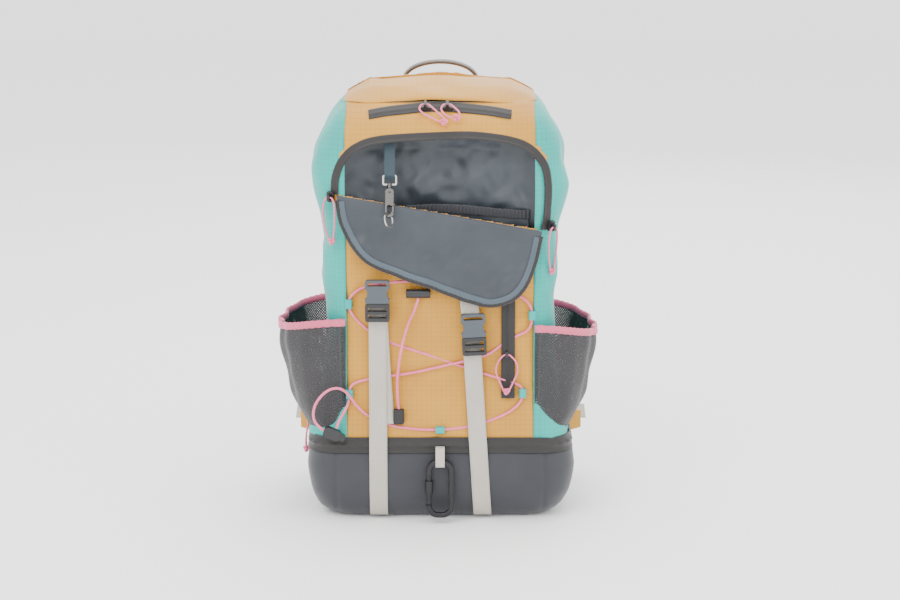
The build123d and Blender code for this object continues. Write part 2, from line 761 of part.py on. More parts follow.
# ---------------------------------------------------------------- key clip
# A webbing tab in the pocket's roof holds a D ring, a swivelling snap hook and a ring.
key_x = -55.0
ring_pivot = (key_x, -83.5, 384.0)
key_lean = 28.0  # the hook lies out over the fold, this far from hanging straight
tab_width = 11.5
wire = 1.8
ring_y = -80.3
ring_bar_z = 390.85
with BuildPart() as key_tab:
    with BuildSketch(Plane.YZ.offset(key_x - tab_width / 2)):
        with BuildLine():
            Polyline(
                (-67.5, lining_roof_z - sheet),
                (-70.0, lining_roof_z - sheet),
                (-83.6, 391.5),
                (ring_y, 387.3),
                (-77.0, 391.5),
                close=True,
            )
        make_face()
        with Locations((ring_y, ring_bar_z)):
            Circle(wire / 2 + 0.7, mode=Mode.SUBTRACT)
    extrude(amount=tab_width)
finish(key_tab.part, "key_tab")

with BuildPart() as key_d_ring:
    with BuildSketch(Plane.XZ.offset(-ring_y)):
        with Locations((key_x, 386.0)):
            RectangleRounded(16.0, 11.5, 2.2)
            RectangleRounded(16.0 - 2 * wire, 11.5 - 2 * wire, 0.6, mode=Mode.SUBTRACT)
    extrude(amount=wire / 2, both=True)
finish(key_d_ring.part, "key_d_ring")


def key_plane(along):
    """A plane across the hook's own line, this far down it from the D ring."""
    lean = math.radians(key_lean)
    x, y, z = ring_pivot
    down = (0, -math.sin(lean), -math.cos(lean))
    return Plane(origin=(x, y + along * down[1], z + along * down[2]), x_dir=(1, 0, 0), z_dir=down)


def key_face(along=0.0):
    """A plane through the hook's line, seen from its front, Y up the line."""
    lean = math.radians(key_lean)
    x, y, z = ring_pivot
    down = (0, -math.sin(lean), -math.cos(lean))
    place = (x, y + along * down[1], z + along * down[2])
    return Plane(origin=place, x_dir=(1, 0, 0), z_dir=(0, -math.cos(lean), math.sin(lean)))


with BuildPart() as key_swivel:
    with BuildSketch(key_plane(2.0)):
        Circle(2.6)
    extrude(amount=5)
    with BuildSketch(key_plane(7.0)):
        Circle(1.2)
    extrude(amount=5.5)
    with BuildSketch(key_plane(11.2)):
        Circle(2.2)
    extrude(amount=1.3)
finish(key_swivel.part, "key_swivel")

hook_width = 9.0
hook_depth = 4.0
hook_length = 33.0
hook_start = 7.6
hook_gap_x = -0.4
with BuildPart() as key_hook:
    with BuildSketch(key_face(hook_start)):
        with Locations((0, -hook_length / 2)):
            RectangleRounded(hook_width, hook_length, 4)
    extrude(amount=hook_depth / 2, both=True)
    with BuildSketch(key_face(hook_start)):
        with Locations((hook_gap_x, -hook_length + 8.2)):
            RectangleRounded(5.0, 11.6, 2.4)
    extrude(amount=hook_depth, both=True, mode=Mode.SUBTRACT)
    with BuildSketch(key_plane(hook_start - 1)):
        Circle(1.3)
    extrude(amount=6, mode=Mode.SUBTRACT)
    with BuildSketch(key_plane(hook_start + 3.3)):
        Circle(2.4)
    extrude(amount=2.2, mode=Mode.SUBTRACT)
    # the mouth that the trigger closes
    with BuildSketch(key_face(hook_start)):
        with Locations((hook_width / 2, -hook_length + 9.5)):
            Rectangle(5.4, 7.0)
    extrude(amount=hook_depth, both=True, mode=Mode.SUBTRACT)
finish(key_hook.part, "key_hook")

with BuildPart() as key_trigger:
    with BuildSketch(key_face(hook_start)):
        with Locations((hook_width / 2 - 0.6, -hook_length + 9.5)):
            Rectangle(1.8, 6.4)
    extrude(amount=hook_depth / 2 - 0.4, both=True)
finish(key_trigger.part, "key_trigger")

# The ring stands half turned in the hook's bow, so that it passes round it.
split_radius = 9.0
split_wire = 1.6
split_turn = 60.0
split_along = hook_start + 28.2 + split_radius - split_wire
face = key_face(split_along)
turned = math.radians(split_turn)
ring_plane = Plane(
    origin=face.origin + Vector(hook_gap_x, 0, 0),
    x_dir=face.x_dir * math.cos(turned) - face.z_dir * math.sin(turned),
    z_dir=face.z_dir * math.cos(turned) + face.x_dir * math.sin(turned),
)
with BuildPart() as split_ring:
    with BuildSketch(ring_plane):
        Circle(split_radius)
        Circle(split_radius - split_wire, mode=Mode.SUBTRACT)
    extrude(amount=0.7, both=True)
finish(split_ring.part, "split_ring")

# ---------------------------------------------------------------- harness at the back
handle_half = 46.0
handle_top = 503.0
handle_foot = hood_height + 1
handle_thickness = 6.0
handle_width = 22.0
handle_y = row_at(handle_foot)[2] + fit_gap
with BuildPart() as carry_handle:
    with BuildSketch(Plane.XZ.offset(-handle_y)):
        with BuildLine():
            inside = handle_half - handle_thickness
            ThreePointArc((-handle_half, handle_foot), (0, handle_top), (handle_half, handle_foot))
            Line((handle_half, handle_foot), (inside, handle_foot))
            ThreePointArc((inside, handle_foot), (0, handle_top - handle_thickness), (-inside, handle_foot))
            Line((-inside, handle_foot), (-handle_half, handle_foot))
        make_face()
    extrude(amount=-handle_width)
finish(carry_handle.part, "carry_handle")

strap_half = 31.0
strap_x_place = 68.0
back_y = back_depth + fit_gap
pad_top = (back_y, 446.0)
pad_low = (112.0, 206.0)
with BuildPart() as shoulder_pad:
    with BuildSketch(Plane.YZ):
        with BuildLine():
            ThreePointArc(pad_top, (152.0, 350.0), pad_low)
            Line(pad_low, (101.0, 210.0))
            ThreePointArc((101.0, 210.0), (138.0, 346.0), (back_y, 430.0))
            Line((back_y, 430.0), pad_top)
        make_face()
    extrude(amount=strap_half, both=True)
shoulder_straps = Compound(children=[
    *(Pos(-strap_x_place, 0, 0) * shoulder_pad.part).solids(),
    *(Pos(strap_x_place, 0, 0) * shoulder_pad.part).solids(),
])
finish(shoulder_straps, "shoulder_straps")


def ribbon(start, end, width, thickness=webbing_thickness):
    """A straight piece of webbing from start to end, its width level."""
    run = Vector(*end) - Vector(*start)
    across = run.cross(Vector(0, 0, 1)).normalized()
    middle = (Vector(*start) + Vector(*end)) / 2
    plane = Plane(origin=middle, x_dir=run.normalized(), z_dir=run.normalized().cross(across))
    with BuildPart() as piece:
        with BuildSketch(plane):
            Rectangle(run.length, width)
        extrude(amount=thickness / 2, both=True)
    return piece.part


lock_z = 196.0
lock_y = 107.0
with BuildPart() as ladder_lock:
    with BuildSketch(Plane.XZ.offset(-lock_y)):
        RectangleRounded(27, 17, 3)
        with Locations((0, 4), (0, -4)):
            Rectangle(21, 3.5, mode=Mode.SUBTRACT)
    extrude(amount=-4)
locks = [(Pos(side * strap_x_place, 0, lock_z) * ladder_lock.part) for side in (-1, 1)]
finish(Compound(children=[s for part in locks for s in part.solids()]), "strap_ladder_locks")

# The wings are doubled triangles of the bag's cloth at the rear corners of the base.
wing_tip = (base_width / 2 + 17, 76.0)
with BuildPart() as wing:
    with BuildSketch(Plane.XZ.offset(-70.0)):
        with BuildLine():
            root_x = base_width / 2 + fit_gap
            Polyline((root_x, 60.0), (wing_tip[0], wing_tip[1] - 11), (wing_tip[0], wing_tip[1] + 9),
                     (root_x, 88.0), close=True)
        make_face()
    extrude(amount=-3)
wings = [wing.part, mirror(wing.part, about=Plane.YZ)]
finish(Compound(children=[s for part in wings for s in part.solids()]), "strap_wings")

webbings = []
for side in (-1, 1):
    middle_x = side * (base_width / 2 + 13)
    webbings.append(ribbon((middle_x, 74.0, wing_tip[1]), (middle_x, 104.0, 84.0), webbing_width))
    low = (middle_x - side * 1.5, 104.5, 85.9)
    high = (side * strap_x_place, lock_y + 2.0, lock_z - 9.5)
    webbings.append(ribbon(low, high, webbing_width))
    lifter_top = (side * strap_x_place, 88.6, 459.0)
    webbings.append(ribbon(lifter_top, (side * strap_x_place, 135.0, 402.0), webbing_width))
sternum_z = 345.0
sternum_y = 156.0
with BuildPart() as sternum_run:
    with BuildSketch(Plane.XZ.offset(-sternum_y)):
        with Locations((-strap_x_place / 2 - 14, sternum_z)):
            Rectangle(strap_x_place, webbing_width)
    extrude(amount=-webbing_thickness)
webbings.append(sternum_run.part)
finish(Compound(children=[s for part in webbings for s in part.solids()]), "harness_webbing")

sternum_gap = Pos(0, sternum_y + webbing_thickness + fit_gap, sternum_z)
finish(sternum_gap * Rot(0, -90, 0) * Rot(0, 0, 180) * female_part(), "sternum_buckle_female")
finish(sternum_gap * Rot(0, -90, 0) * Rot(0, 0, 180) * male_part(), "sternum_buckle_male")
with BuildPart() as sternum_tail:
    with BuildSketch(Plane.XZ.offset(-sternum_y)):
        with Locations((strap_x_place / 2 + 12, sternum_z)):
            Rectangle(strap_x_place - 6, webbing_width)
    extrude(amount=-webbing_thickness)
finish(sternum_tail.part, "sternum_webbing")
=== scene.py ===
import json
import math

import bpy
import numpy as np
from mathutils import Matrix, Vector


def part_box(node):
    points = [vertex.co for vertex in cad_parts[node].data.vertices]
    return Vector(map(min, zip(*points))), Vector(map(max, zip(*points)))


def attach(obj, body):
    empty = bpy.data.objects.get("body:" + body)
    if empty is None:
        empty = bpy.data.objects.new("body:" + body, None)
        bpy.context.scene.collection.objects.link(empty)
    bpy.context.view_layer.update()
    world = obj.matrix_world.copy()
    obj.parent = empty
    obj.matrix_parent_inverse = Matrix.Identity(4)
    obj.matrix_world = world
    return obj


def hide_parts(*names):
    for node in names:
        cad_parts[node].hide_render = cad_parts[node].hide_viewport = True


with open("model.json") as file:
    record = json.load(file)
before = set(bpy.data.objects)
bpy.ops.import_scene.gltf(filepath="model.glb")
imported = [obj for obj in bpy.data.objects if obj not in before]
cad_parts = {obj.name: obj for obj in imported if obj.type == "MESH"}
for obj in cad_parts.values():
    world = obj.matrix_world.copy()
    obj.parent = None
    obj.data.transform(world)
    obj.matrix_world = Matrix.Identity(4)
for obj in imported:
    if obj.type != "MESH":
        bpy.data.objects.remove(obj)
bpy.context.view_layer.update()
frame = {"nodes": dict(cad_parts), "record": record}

# The camera looks at the pack's front from a little above, with a long lens, and the
# pack stands on a pale floor under wide soft lights.
look_at = np.array([0.011, -0.095, 0.255])
camera_rise = math.radians(12.0)
camera_reach = 2.337
camera_data = bpy.data.cameras.new("camera")
camera_data.lens = 85.0
camera = bpy.data.objects.new("camera", camera_data)
bpy.context.scene.collection.objects.link(camera)
camera.location = look_at + camera_reach * np.array([0.0, -math.cos(camera_rise), math.sin(camera_rise)])
camera.rotation_euler = (math.pi / 2 - camera_rise, 0.0, 0.0)
bpy.context.scene.camera = camera

world = bpy.data.worlds.new("studio")
bpy.context.scene.world = world
world.use_nodes = True
world.node_tree.nodes["Background"].inputs["Color"].default_value = (1.0, 1.0, 1.0, 1.0)
world.node_tree.nodes["Background"].inputs["Strength"].default_value = 2.1
for name, place, aim, width, watts in (
    ("key_light", (-0.9, -1.7, 2.1), (0.0, 0.0, 0.25), 1.5, 34.0),
    ("fill_light", (1.9, -1.2, 1.0), (0.0, 0.0, 0.25), 1.6, 8.0),
    ("top_light", (0.2, 0.3, 2.3), (0.0, 0.0, 0.4), 1.2, 30.0),
    ("back_light", (0.6, 2.2, 1.4), (0.0, 0.0, 0.25), 1.4, 14.0),
):
    lamp = bpy.data.lights.new(name, "AREA")
    lamp.size = width
    lamp.energy = watts
    holder = bpy.data.objects.new(name, lamp)
    bpy.context.scene.collection.objects.link(holder)
    toward = np.array(aim) - np.array(place)
    holder.location = place
    holder.rotation_euler = (
        math.atan2(math.hypot(toward[0], toward[1]), -toward[2]), 0.0,
        math.atan2(toward[0], -toward[1]) + math.pi,
    )


# Every finish on the pack is written as sums of values that vary over the cloth.
class Tone:
    """A value in a material's nodes. A sum on tones adds the Math nodes that work it out."""

    def __init__(self, tree, socket=None):
        self.tree = tree
        self.socket = socket

    def node(self, kind, feeds, out=0, **settings):
        """Adds a node of a kind, sets it, then feeds its sockets values or links."""
        made = self.tree.nodes.new("ShaderNode" + kind)
        for name, value in settings.items():
            setattr(made, name, value)
        for key, value in feeds.items():
            if isinstance(value, Tone):
                self.tree.links.new(value.socket, made.inputs[key])
            else:
                made.inputs[key].default_value = value
        return Tone(self.tree, made.outputs[out])

    def sum(self, operation, first, second=0.0):
        return self.node("Math", {0: first, 1: second}, operation=operation)

    def __add__(self, other):
        return self.sum("ADD", self, other)

    def __sub__(self, other):
        return self.sum("SUBTRACT", self, other)

    def __rsub__(self, other):
        return self.sum("SUBTRACT", other, self)

    def __mul__(self, other):
        return self.sum("MULTIPLY", self, other)

    def __gt__(self, other):
        return self.sum("GREATER_THAN", self, other)

    __radd__ = __add__
    __rmul__ = __mul__

    def sine(self):
        return self.sum("SINE", self)


def finish_of(name, roughness, metallic=0.0, sheen=0.0, coat=0.0):
    """A new material and the tone that its nodes grow from."""
    material = bpy.data.materials.new(name)
    material.use_nodes = True
    shader = material.node_tree.nodes["Principled BSDF"]
    shader.inputs["Roughness"].default_value = roughness
    shader.inputs["Metallic"].default_value = metallic
    shader.inputs["Sheen Weight"].default_value = sheen
    shader.inputs["Sheen Roughness"].default_value = 0.4
    shader.inputs["Coat Weight"].default_value = coat
    return material, shader, Tone(material.node_tree)


def join(shader, socket, tone):
    """Feeds a varying tone to one of the shader's sockets."""
    tone.tree.links.new(tone.socket, shader.inputs[socket])


def woven(name, dark, light, pitch=0.0011, check=0.0, roughness=0.62, sheen=0.25, depth=0.35):
    """Cloth: sines across warp and weft raise the threads, a check of thicker threads
    stands out every few millimetres, and a slow noise fades the colour from dark to light."""
    material, shader, start = finish_of(name, roughness, sheen=sheen)
    grain = start.node("UVMap", {}, uv_map="cloth")
    along = start.node("SeparateXYZ", {0: grain}, out=0)
    up = start.node("SeparateXYZ", {0: grain}, out=1)
    warp = (along * (math.tau / pitch)).sine()
    weft = (up * (math.tau / pitch)).sine()
    threads = warp * weft * 0.5 + 0.5
    fade = start.node("TexNoise", {"Vector": grain, "Scale": 14.0, "Detail": 4.0})
    tint = fade * 0.8 + threads * 0.25 - 0.05
    height = threads * 0.5
    if check:
        rip = ((along * (math.tau / check)).sine() > 0.93) + ((up * (math.tau / check)).sine() > 0.93)
        tint = tint - rip * 0.16
        height = height + rip * 0.6
    colour = start.node(
        "Mix", {0: tint, 6: (*dark, 1.0), 7: (*light, 1.0)}, out=2, data_type="RGBA", clamp_factor=True
    )
    join(shader, "Base Color", colour)
    join(shader, "Normal", start.node("Bump", {"Height": height, "Strength": depth, "Distance": 0.0005}))
    return material


yellow = woven("yellow_ripstop", (0.38, 0.16, 0.008), (0.70, 0.35, 0.024), check=0.0055)
teal = woven("teal_ripstop", (0.0, 0.22, 0.19), (0.001, 0.52, 0.44), check=0.0055)
slate = woven("slate_nylon", (0.012, 0.013, 0.017), (0.036, 0.038, 0.047), pitch=0.0016, depth=0.6)
lining_cloth = woven("lining_nylon", (0.008, 0.012, 0.018), (0.048, 0.060, 0.075), roughness=0.42, sheen=0.5)
black_tape = woven("black_tape", (0.006, 0.005, 0.005), (0.022, 0.019, 0.018), pitch=0.0013, depth=0.6)
padded_cloth = woven("spacer_mesh", (0.010, 0.010, 0.012), (0.050, 0.052, 0.058), pitch=0.0032, depth=0.9)


# The bag is one cloth shape. Its level sections are rounded rectangles, and all the
# panels, zips and straps lie on it or a little outside it.
levels = np.array([
    (0.000, 0.128, 0.071, 0.078), (0.010, 0.139, 0.084, 0.086), (0.028, 0.146, 0.0915, 0.090),
    (0.060, 0.150, 0.095, 0.090), (0.089, 0.148, 0.095, 0.090), (0.121, 0.137, 0.087, 0.090),
    (0.160, 0.131, 0.0825, 0.090), (0.200, 0.129, 0.0805, 0.090), (0.300, 0.130, 0.080, 0.090),
    (0.322, 0.131, 0.0815, 0.090), (0.338, 0.133, 0.0865, 0.090), (0.378, 0.139, 0.0875, 0.090),
    (0.415, 0.135, 0.085, 0.090), (0.436, 0.129, 0.0785, 0.0892), (0.453, 0.1205, 0.0695, 0.0880),
    (0.470, 0.1045, 0.0465, 0.0845), (0.482, 0.080, 0.016, 0.0745),
])
heights = np.arange(0.0, 0.4825, 0.001)
spread = np.exp(-0.5 * (np.arange(-12, 13) / 4.0) ** 2)
spread /= spread.sum()


def eased(column):
    """The level sizes at each millimetre of height, rounded by a bell-shaped average."""
    raw = np.interp(heights, levels[:, 0], levels[:, column])
    wide = np.concatenate([raw[:1] + (raw[0] - raw[12:0:-1]), raw, raw[-1:] + (raw[-1] - raw[-2:-14:-1])])
    return np.convolve(wide, spread, "valid")


half_table, front_table, back_table = eased(1), eased(2), eased(3)
front_round, back_round = 0.035, 0.024


def sizes_at(z):
    """Half the width, the front's depth and the back's depth at each height."""
    return [np.interp(z, heights, table) for table in (half_table, front_table, back_table)]


def skin(s, z, out=0.0):
    """The point on the bag at arc length s from the front's middle, positive to the right,
    and height z, moved out along the level normal: a flat front, a corner arc, a flat
    side, a corner arc and a flat back follow each other."""
    s, z, out = np.broadcast_arrays(np.asarray(s, float), np.asarray(z, float), np.asarray(out, float))
    half, front, back = sizes_at(z)
    reach = np.abs(s)
    first = half - front_round
    second = first + front_round * math.pi / 2
    third = second + (front - front_round) + (back - back_round)
    fourth = third + back_round * math.pi / 2
    turn = np.clip((reach - first) / front_round, 0.0, math.pi / 2)
    late = np.clip((reach - third) / back_round, 0.0, math.pi / 2)
    x = np.minimum(reach, first) + front_round * np.sin(turn) - back_round * (1 - np.cos(late))
    x = x - np.maximum(reach - fourth, 0.0)
    y = -front + front_round * (1 - np.cos(turn)) + np.clip(reach - second, 0.0, third - second)
    y = y + back_round * np.sin(late)
    angle = turn + late
    side = np.where(s < 0, -1.0, 1.0)
    return np.stack([side * (x + out * np.sin(angle)), y - out * np.cos(angle), z + 0.0 * x], -1)


def arc_at_x(x, z):
    """The arc length at which the front of the bag reaches x, round its corner."""
    half = sizes_at(z)[0]
    flat = half - front_round
    turn = np.arcsin(np.clip((np.abs(x) - flat) / front_round, 0.0, 1.0))
    return np.sign(x) * (np.minimum(np.abs(x), flat) + front_round * turn)


def arc_at_back(y, z):
    """The arc length at which the bag's rear corner reaches y."""
    half, front, back = sizes_at(z)
    third = half - front_round + front_round * math.pi / 2 + front - front_round + back - back_round
    return third + back_round * np.arcsin(np.clip((y - (back - back_round)) / back_round, 0.0, 1.0))


def full_arc(z):
    """The arc length from the front's middle to the back's middle."""
    half, front, back = sizes_at(z)
    return (half - front_round) + (half - back_round) + (front - front_round) + (back - back_round) \
        + (front_round + back_round) * math.pi / 2


def ripples(a, b, size, seed, count=7):
    """Soft folds in cloth: a few sine waves in random directions, each faded in and out
    by a slower wave across it, about one high in all."""
    chance = np.random.default_rng(seed)
    total = 0.0
    for _ in range(count):
        way = chance.uniform(0, math.pi)
        start, other = chance.uniform(0, math.tau, 2)
        scale = size * chance.uniform(0.7, 1.6)
        across = a * math.cos(way) + b * math.sin(way)
        beside = b * math.cos(way) - a * math.sin(way)
        wave = np.sin(across * math.tau / scale + start)
        total = total + wave * np.sin(beside * math.tau / (2.6 * scale) + other)
    return total / math.sqrt(count)


def cloth(name, points, grain, material, body="pack", replaces=(), thick=0.0012, inward=None,
          keep=None, loop=False):
    """A grid of points made into cloth: each square of the grid is a face, those outside
    keep are left out, the faces are turned to face away from inward, and the cloth gets
    its thickness on the inner side."""
    rows, columns = points.shape[:2]
    index = np.arange(rows * columns).reshape(rows, columns)
    near, far = (index, np.roll(index, -1, 0)) if loop else (index[:-1], index[1:])
    quads = np.stack([near[:, :-1], far[:, :-1], far[:, 1:], near[:, 1:]], -1).reshape(-1, 4)
    if keep is not None:
        quads = quads[keep.reshape(-1)]
    flat = points.reshape(-1, 3)
    corners = flat[quads]
    normal = np.cross(corners[:, 2] - corners[:, 0], corners[:, 3] - corners[:, 1])
    middle = corners.mean(1)
    outward = middle - (np.array([0.0, 0.0, 1.0]) * middle if inward is None else np.asarray(inward))
    if (normal * outward).sum() < 0:
        quads = quads[:, ::-1]
    used, quads = np.unique(quads, return_inverse=True)
    quads = quads.reshape(-1, 4)
    mesh = bpy.data.meshes.new(name)
    mesh.from_pydata(flat[used], [], quads)
    layer = mesh.uv_layers.new(name="cloth")
    layer.data.foreach_set("uv", grain.reshape(-1, 2)[used][quads.reshape(-1)].ravel())
    mesh.polygons.foreach_set("use_smooth", np.full(len(mesh.polygons), True))
    mesh.materials.append(material)
    piece = bpy.data.objects.new(name, mesh)
    bpy.context.scene.collection.objects.link(piece)
    if thick:
        wall = piece.modifiers.new("wall", "SOLIDIFY")
        wall.thickness = thick
        wall.offset = -1.0
    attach(piece, body)
    if replaces:
        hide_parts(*replaces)
    return piece


def lattice(low_u, high_u, step_u, low_v, high_v, step_v):
    """Two even ranges as a grid of pairs."""
    u = np.linspace(low_u, high_u, int(round((high_u - low_u) / step_u)) + 1)
    v = np.linspace(low_v, high_v, int(round((high_v - low_v) / step_v)) + 1)
    return np.meshgrid(u, v, indexing="ij")


def bump_at(value, centre, width):
    """A bell of height one at centre."""
    return np.exp(-((value - centre) / width) ** 2)


# The base is a tub of heavier slate cloth, cut in a front, two corners and a back, with
# welted seams between them and a flat bottom.
share, z = lattice(0.0, 1.0, 1 / 360, -0.09, 0.081, 0.003)
level = np.maximum(z, 0.0)
arc = (share * 2 - 1) * full_arc(level)
puff = 0.0012 * ripples(arc, z, 0.09, 3) + 0.0022 * bump_at(level, 0.05, 0.03)
seams = sum(bump_at(np.abs(arc), place, 0.0022) for place in (0.117, 0.262))
wall = skin(arc, level, puff - 0.0016 * seams - 0.001)
closing = np.clip(1.0 + z / 0.09, 0.0, 1.0)[..., None]
middle = np.array([0.0, 0.003, 0.0])
tub_points = np.where(z[..., None] < 0, middle + (wall - middle) * closing * np.array([1.0, 1.0, 0.0]), wall)
tub_points[..., 2] = np.where(z < 0, 0.0006, np.maximum(tub_points[..., 2], 0.0006))
cloth("tub_cloth", tub_points, np.stack([arc, z], -1), slate, replaces=["base_tub"],
      inward=(0.0, 0.0, 0.04))

# The zip band above the tub is black tape with a coil zip along its middle.
share, z = lattice(0.0, 1.0, 1 / 420, 0.0805, 0.0975, 0.001)
arc = (share * 2 - 1) * full_arc(z)
coil_line = 0.0893
coil = 0.0014 * bump_at(z, coil_line, 0.0022) * (1 + 0.35 * np.sin(arc * math.tau / 0.0026))
welt = 0.0009 * (bump_at(z, 0.0975, 0.0016) + bump_at(z, 0.0805, 0.0016))
cloth("zip_band_cloth", skin(arc, z, coil + welt + 0.0004), np.stack([arc, z], -1), black_tape,
      replaces=["base_zip_band"])

# The side panels are teal ripstop from the front seams to the back seams. A welt runs
# up each side and over the shoulder, where the panel is pieced.
for side, name in ((-1.0, "left"), (1.0, "right")):
    share, z = lattice(0.0, 1.0, 1 / 90, 0.097, 0.4685, 0.0028)
    first, last = arc_at_x(0.104, z), arc_at_back(0.078, z)
    arc = first + (last - first) * share
    hollow = np.sin(share * math.pi) ** 0.6
    puff = (0.0030 * ripples(arc, z, 0.09, 11 + int(side)) + 0.0016 * np.sin(z * 21.0)) * hollow
    puff = puff + 0.0013 * ripples(arc, z, 0.035, 21 + int(side)) * hollow
    welt_line = 0.34 + 0.10 * np.sin(np.clip((z - 0.1) / 0.37, 0, 1) * math.pi)
    puff = puff + 0.0016 * bump_at(share, welt_line, 0.012)
    cloth(f"side_cloth_{name}", skin(side * arc, z, puff), np.stack([arc, z], -1), teal,
          replaces=[f"side_panel_{name}"])

# The back is foam under black spacer mesh, sewn into two upright pads with a channel
# between them.
share, z = lattice(-1.0, 1.0, 1 / 50, 0.097, 0.4685, 0.0035)
arc = full_arc(z) - (full_arc(z) - arc_at_back(0.078, z)) * np.abs(share)
pads = np.clip(np.sin(np.clip(np.abs(share) * 1.12 - 0.06, 0, 1) * math.pi), 0, 1) ** 0.45
bars = 1 - 0.55 * sum(bump_at(z, place, 0.006) for place in (0.19, 0.28, 0.37))
puff = 0.0055 * pads * bars * np.clip(np.sin((z - 0.097) / 0.3715 * math.pi), 0, 1) ** 0.3 - 0.002
back_points = skin(np.where(share < 0, -arc, arc), z, puff)
cloth("back_pad_cloth", back_points, np.stack([share * 0.15, z], -1), padded_cloth,
      replaces=["back_panel"])

# The lower front is one yellow ripstop panel, pulled in a little at each lacing loop.
loop_spots = ((-0.101, 0.248), (0.102, 0.235), (-0.101, 0.146), (0.092, 0.147), (0.0, 0.106))
x, z = lattice(-0.104, 0.104, 0.002, 0.097, 0.331, 0.002)
arc = arc_at_x(x, z)
open_run = np.clip(np.sin((z - 0.097) / 0.234 * math.pi), 0, 1) ** 0.4 * np.clip(1 - (x / 0.104) ** 4, 0, 1)
puff = (0.0024 + 0.0022 * ripples(x, z, 0.075, 31) + 0.0008 * ripples(x, z, 0.03, 32)) * open_run
for place_x, place_z in loop_spots:
    away = np.hypot(x - place_x, z - place_z)
    ray = np.cos(5 * np.arctan2(z - place_z, x - place_x))
    puff = puff - 0.0016 * np.exp(-(away / 0.016) ** 2) + 0.0005 * ray * np.exp(-(away / 0.028) ** 2)
cloth("lower_front_cloth", skin(arc, z, puff - 0.0006), np.stack([x, z], -1), yellow,
      replaces=["front_lower_panel"])


# The upper front is yellow ripstop round the pocket's arched mouth.
def through(points, count=160):
    """A smooth line through given points, as that many points evenly along it: each
    stretch is the cubic that leaves and arrives along its neighbours' chord."""
    points = np.asarray(points, float)
    padded = np.vstack([2 * points[0] - points[1], points, 2 * points[-1] - points[-2]])
    fine = []
    for spot in range(1, len(padded) - 2):
        before, start, end, after = padded[spot - 1:spot + 3]
        t = np.linspace(0, 1, 24, endpoint=False)[:, None]
        bend = 2 * before - 5 * start + 4 * end - after
        twist = 3 * start - before - 3 * end + after
        fine.append(0.5 * (2 * start + (end - before) * t + bend * t ** 2 + twist * t ** 3))
    fine = np.vstack(fine + [points[-1:]])
    walked = np.concatenate([[0], np.cumsum(np.linalg.norm(np.diff(fine, axis=0), axis=1))])
    even = np.linspace(0, walked[-1], count)
    return np.stack([np.interp(even, walked, fine[:, axis]) for axis in range(fine.shape[1])], -1)


mouth_arch = through([
    (-0.113, 0.371), (-0.1115, 0.390), (-0.104, 0.408), (-0.089, 0.4215), (-0.062, 0.429), (0.0, 0.4325),
    (0.044, 0.4325), (0.088, 0.4245), (0.109, 0.407), (0.1155, 0.384), (0.115, 0.350), (0.112, 0.331),
], 220)
fold_line = through([(0.112, 0.331), (0.04, 0.3435), (-0.04, 0.3578), (-0.113, 0.371)], 60)
mouth_line = np.vstack([mouth_arch, fold_line[1:-1]])


def within(x, z, line):
    """Whether each point lies inside a closed line: an odd number of crossings upwards."""
    inside = np.zeros(x.shape, bool)
    for (x0, z0), (x1, z1) in zip(line, np.roll(line, -1, 0)):
        crosses = (z0 > z) != (z1 > z)
        inside ^= crosses & (x < (x1 - x0) * (z - z0) / (z1 - z0 + 1e-12) + x0)
    return inside


def snapped(x, z, line, reach):
    """Points nearer than reach to a line, moved onto it."""
    gap = np.hypot(x[..., None] - line[:, 0], z[..., None] - line[:, 1])
    nearest = gap.argmin(-1)
    close = gap.min(-1) < reach
    return np.where(close, line[nearest, 0], x), np.where(close, line[nearest, 1], z)


x, z = lattice(-0.1355, 0.1355, 0.0021, 0.331, 0.4685, 0.0021)
x, z = snapped(x, z, mouth_line, 0.0012)
half_here = sizes_at(z)[0]
edge = np.minimum(0.1165, half_here - 0.0012)
x = np.clip(x, -edge, edge)
in_middle = 0.25 * (x[:-1, :-1] + x[1:, :-1] + x[1:, 1:] + x[:-1, 1:]), 0.25 * (
    z[:-1, :-1] + z[1:, :-1] + z[1:, 1:] + z[:-1, 1:])
beside_seam = np.abs(in_middle[0]) < 0.1045
near_mouth = np.hypot(in_middle[0][..., None] - mouth_line[:, 0],
                      in_middle[1][..., None] - mouth_line[:, 1]).min(-1) < 0.009
keep = ~within(*in_middle, mouth_line) & (beside_seam | near_mouth)
puff = 0.0012 * ripples(x, z, 0.06, 41) * np.clip((z - 0.436) / 0.01, 0, 1) + 0.0008
cloth("upper_front_cloth", skin(arc_at_x(x, z), z, puff), np.stack([x, z], -1), yellow,
      replaces=["front_upper_panel"], keep=keep)


# A coil zip edges the arch of the mouth: black tape with the coil on its inner edge.
def strip(name, line, width, rise, material, out=0.0, body="pack", replaces=(), across=9, y=None,
          thick=0.0008, lean=0.0):
    """A tape laid along a line on the bag's front. Across it the height follows rise, and
    its width runs to the left of the line's direction. With y it hangs in front at y."""
    along = np.gradient(line[:, :2], axis=0)
    along /= np.linalg.norm(along, axis=1)[:, None]
    left = np.stack([-along[:, 1], along[:, 0]], -1)
    u = np.linspace(0, 1, across)
    flat = line[:, None, :2] + left[:, None, :] * (u[None, :, None] - lean) * width
    run = np.concatenate([[0], np.cumsum(np.linalg.norm(np.diff(line[:, :2], axis=0), axis=1))])
    height = rise(u[None, :], run[:, None]) + out
    if y is None:
        points = skin(arc_at_x(flat[..., 0], flat[..., 1]), flat[..., 1], height)
    else:
        points = np.stack([flat[..., 0], y(flat[..., 0], flat[..., 1]) - height, flat[..., 1]], -1)
    grain = np.stack([u[None, :] * width + 0 * run[:, None], run[:, None] + 0 * u[None, :]], -1)
    return cloth(name, points, grain, material, body=body, replaces=replaces, thick=thick,
                 inward=(0.0, 0.2, 0.3))


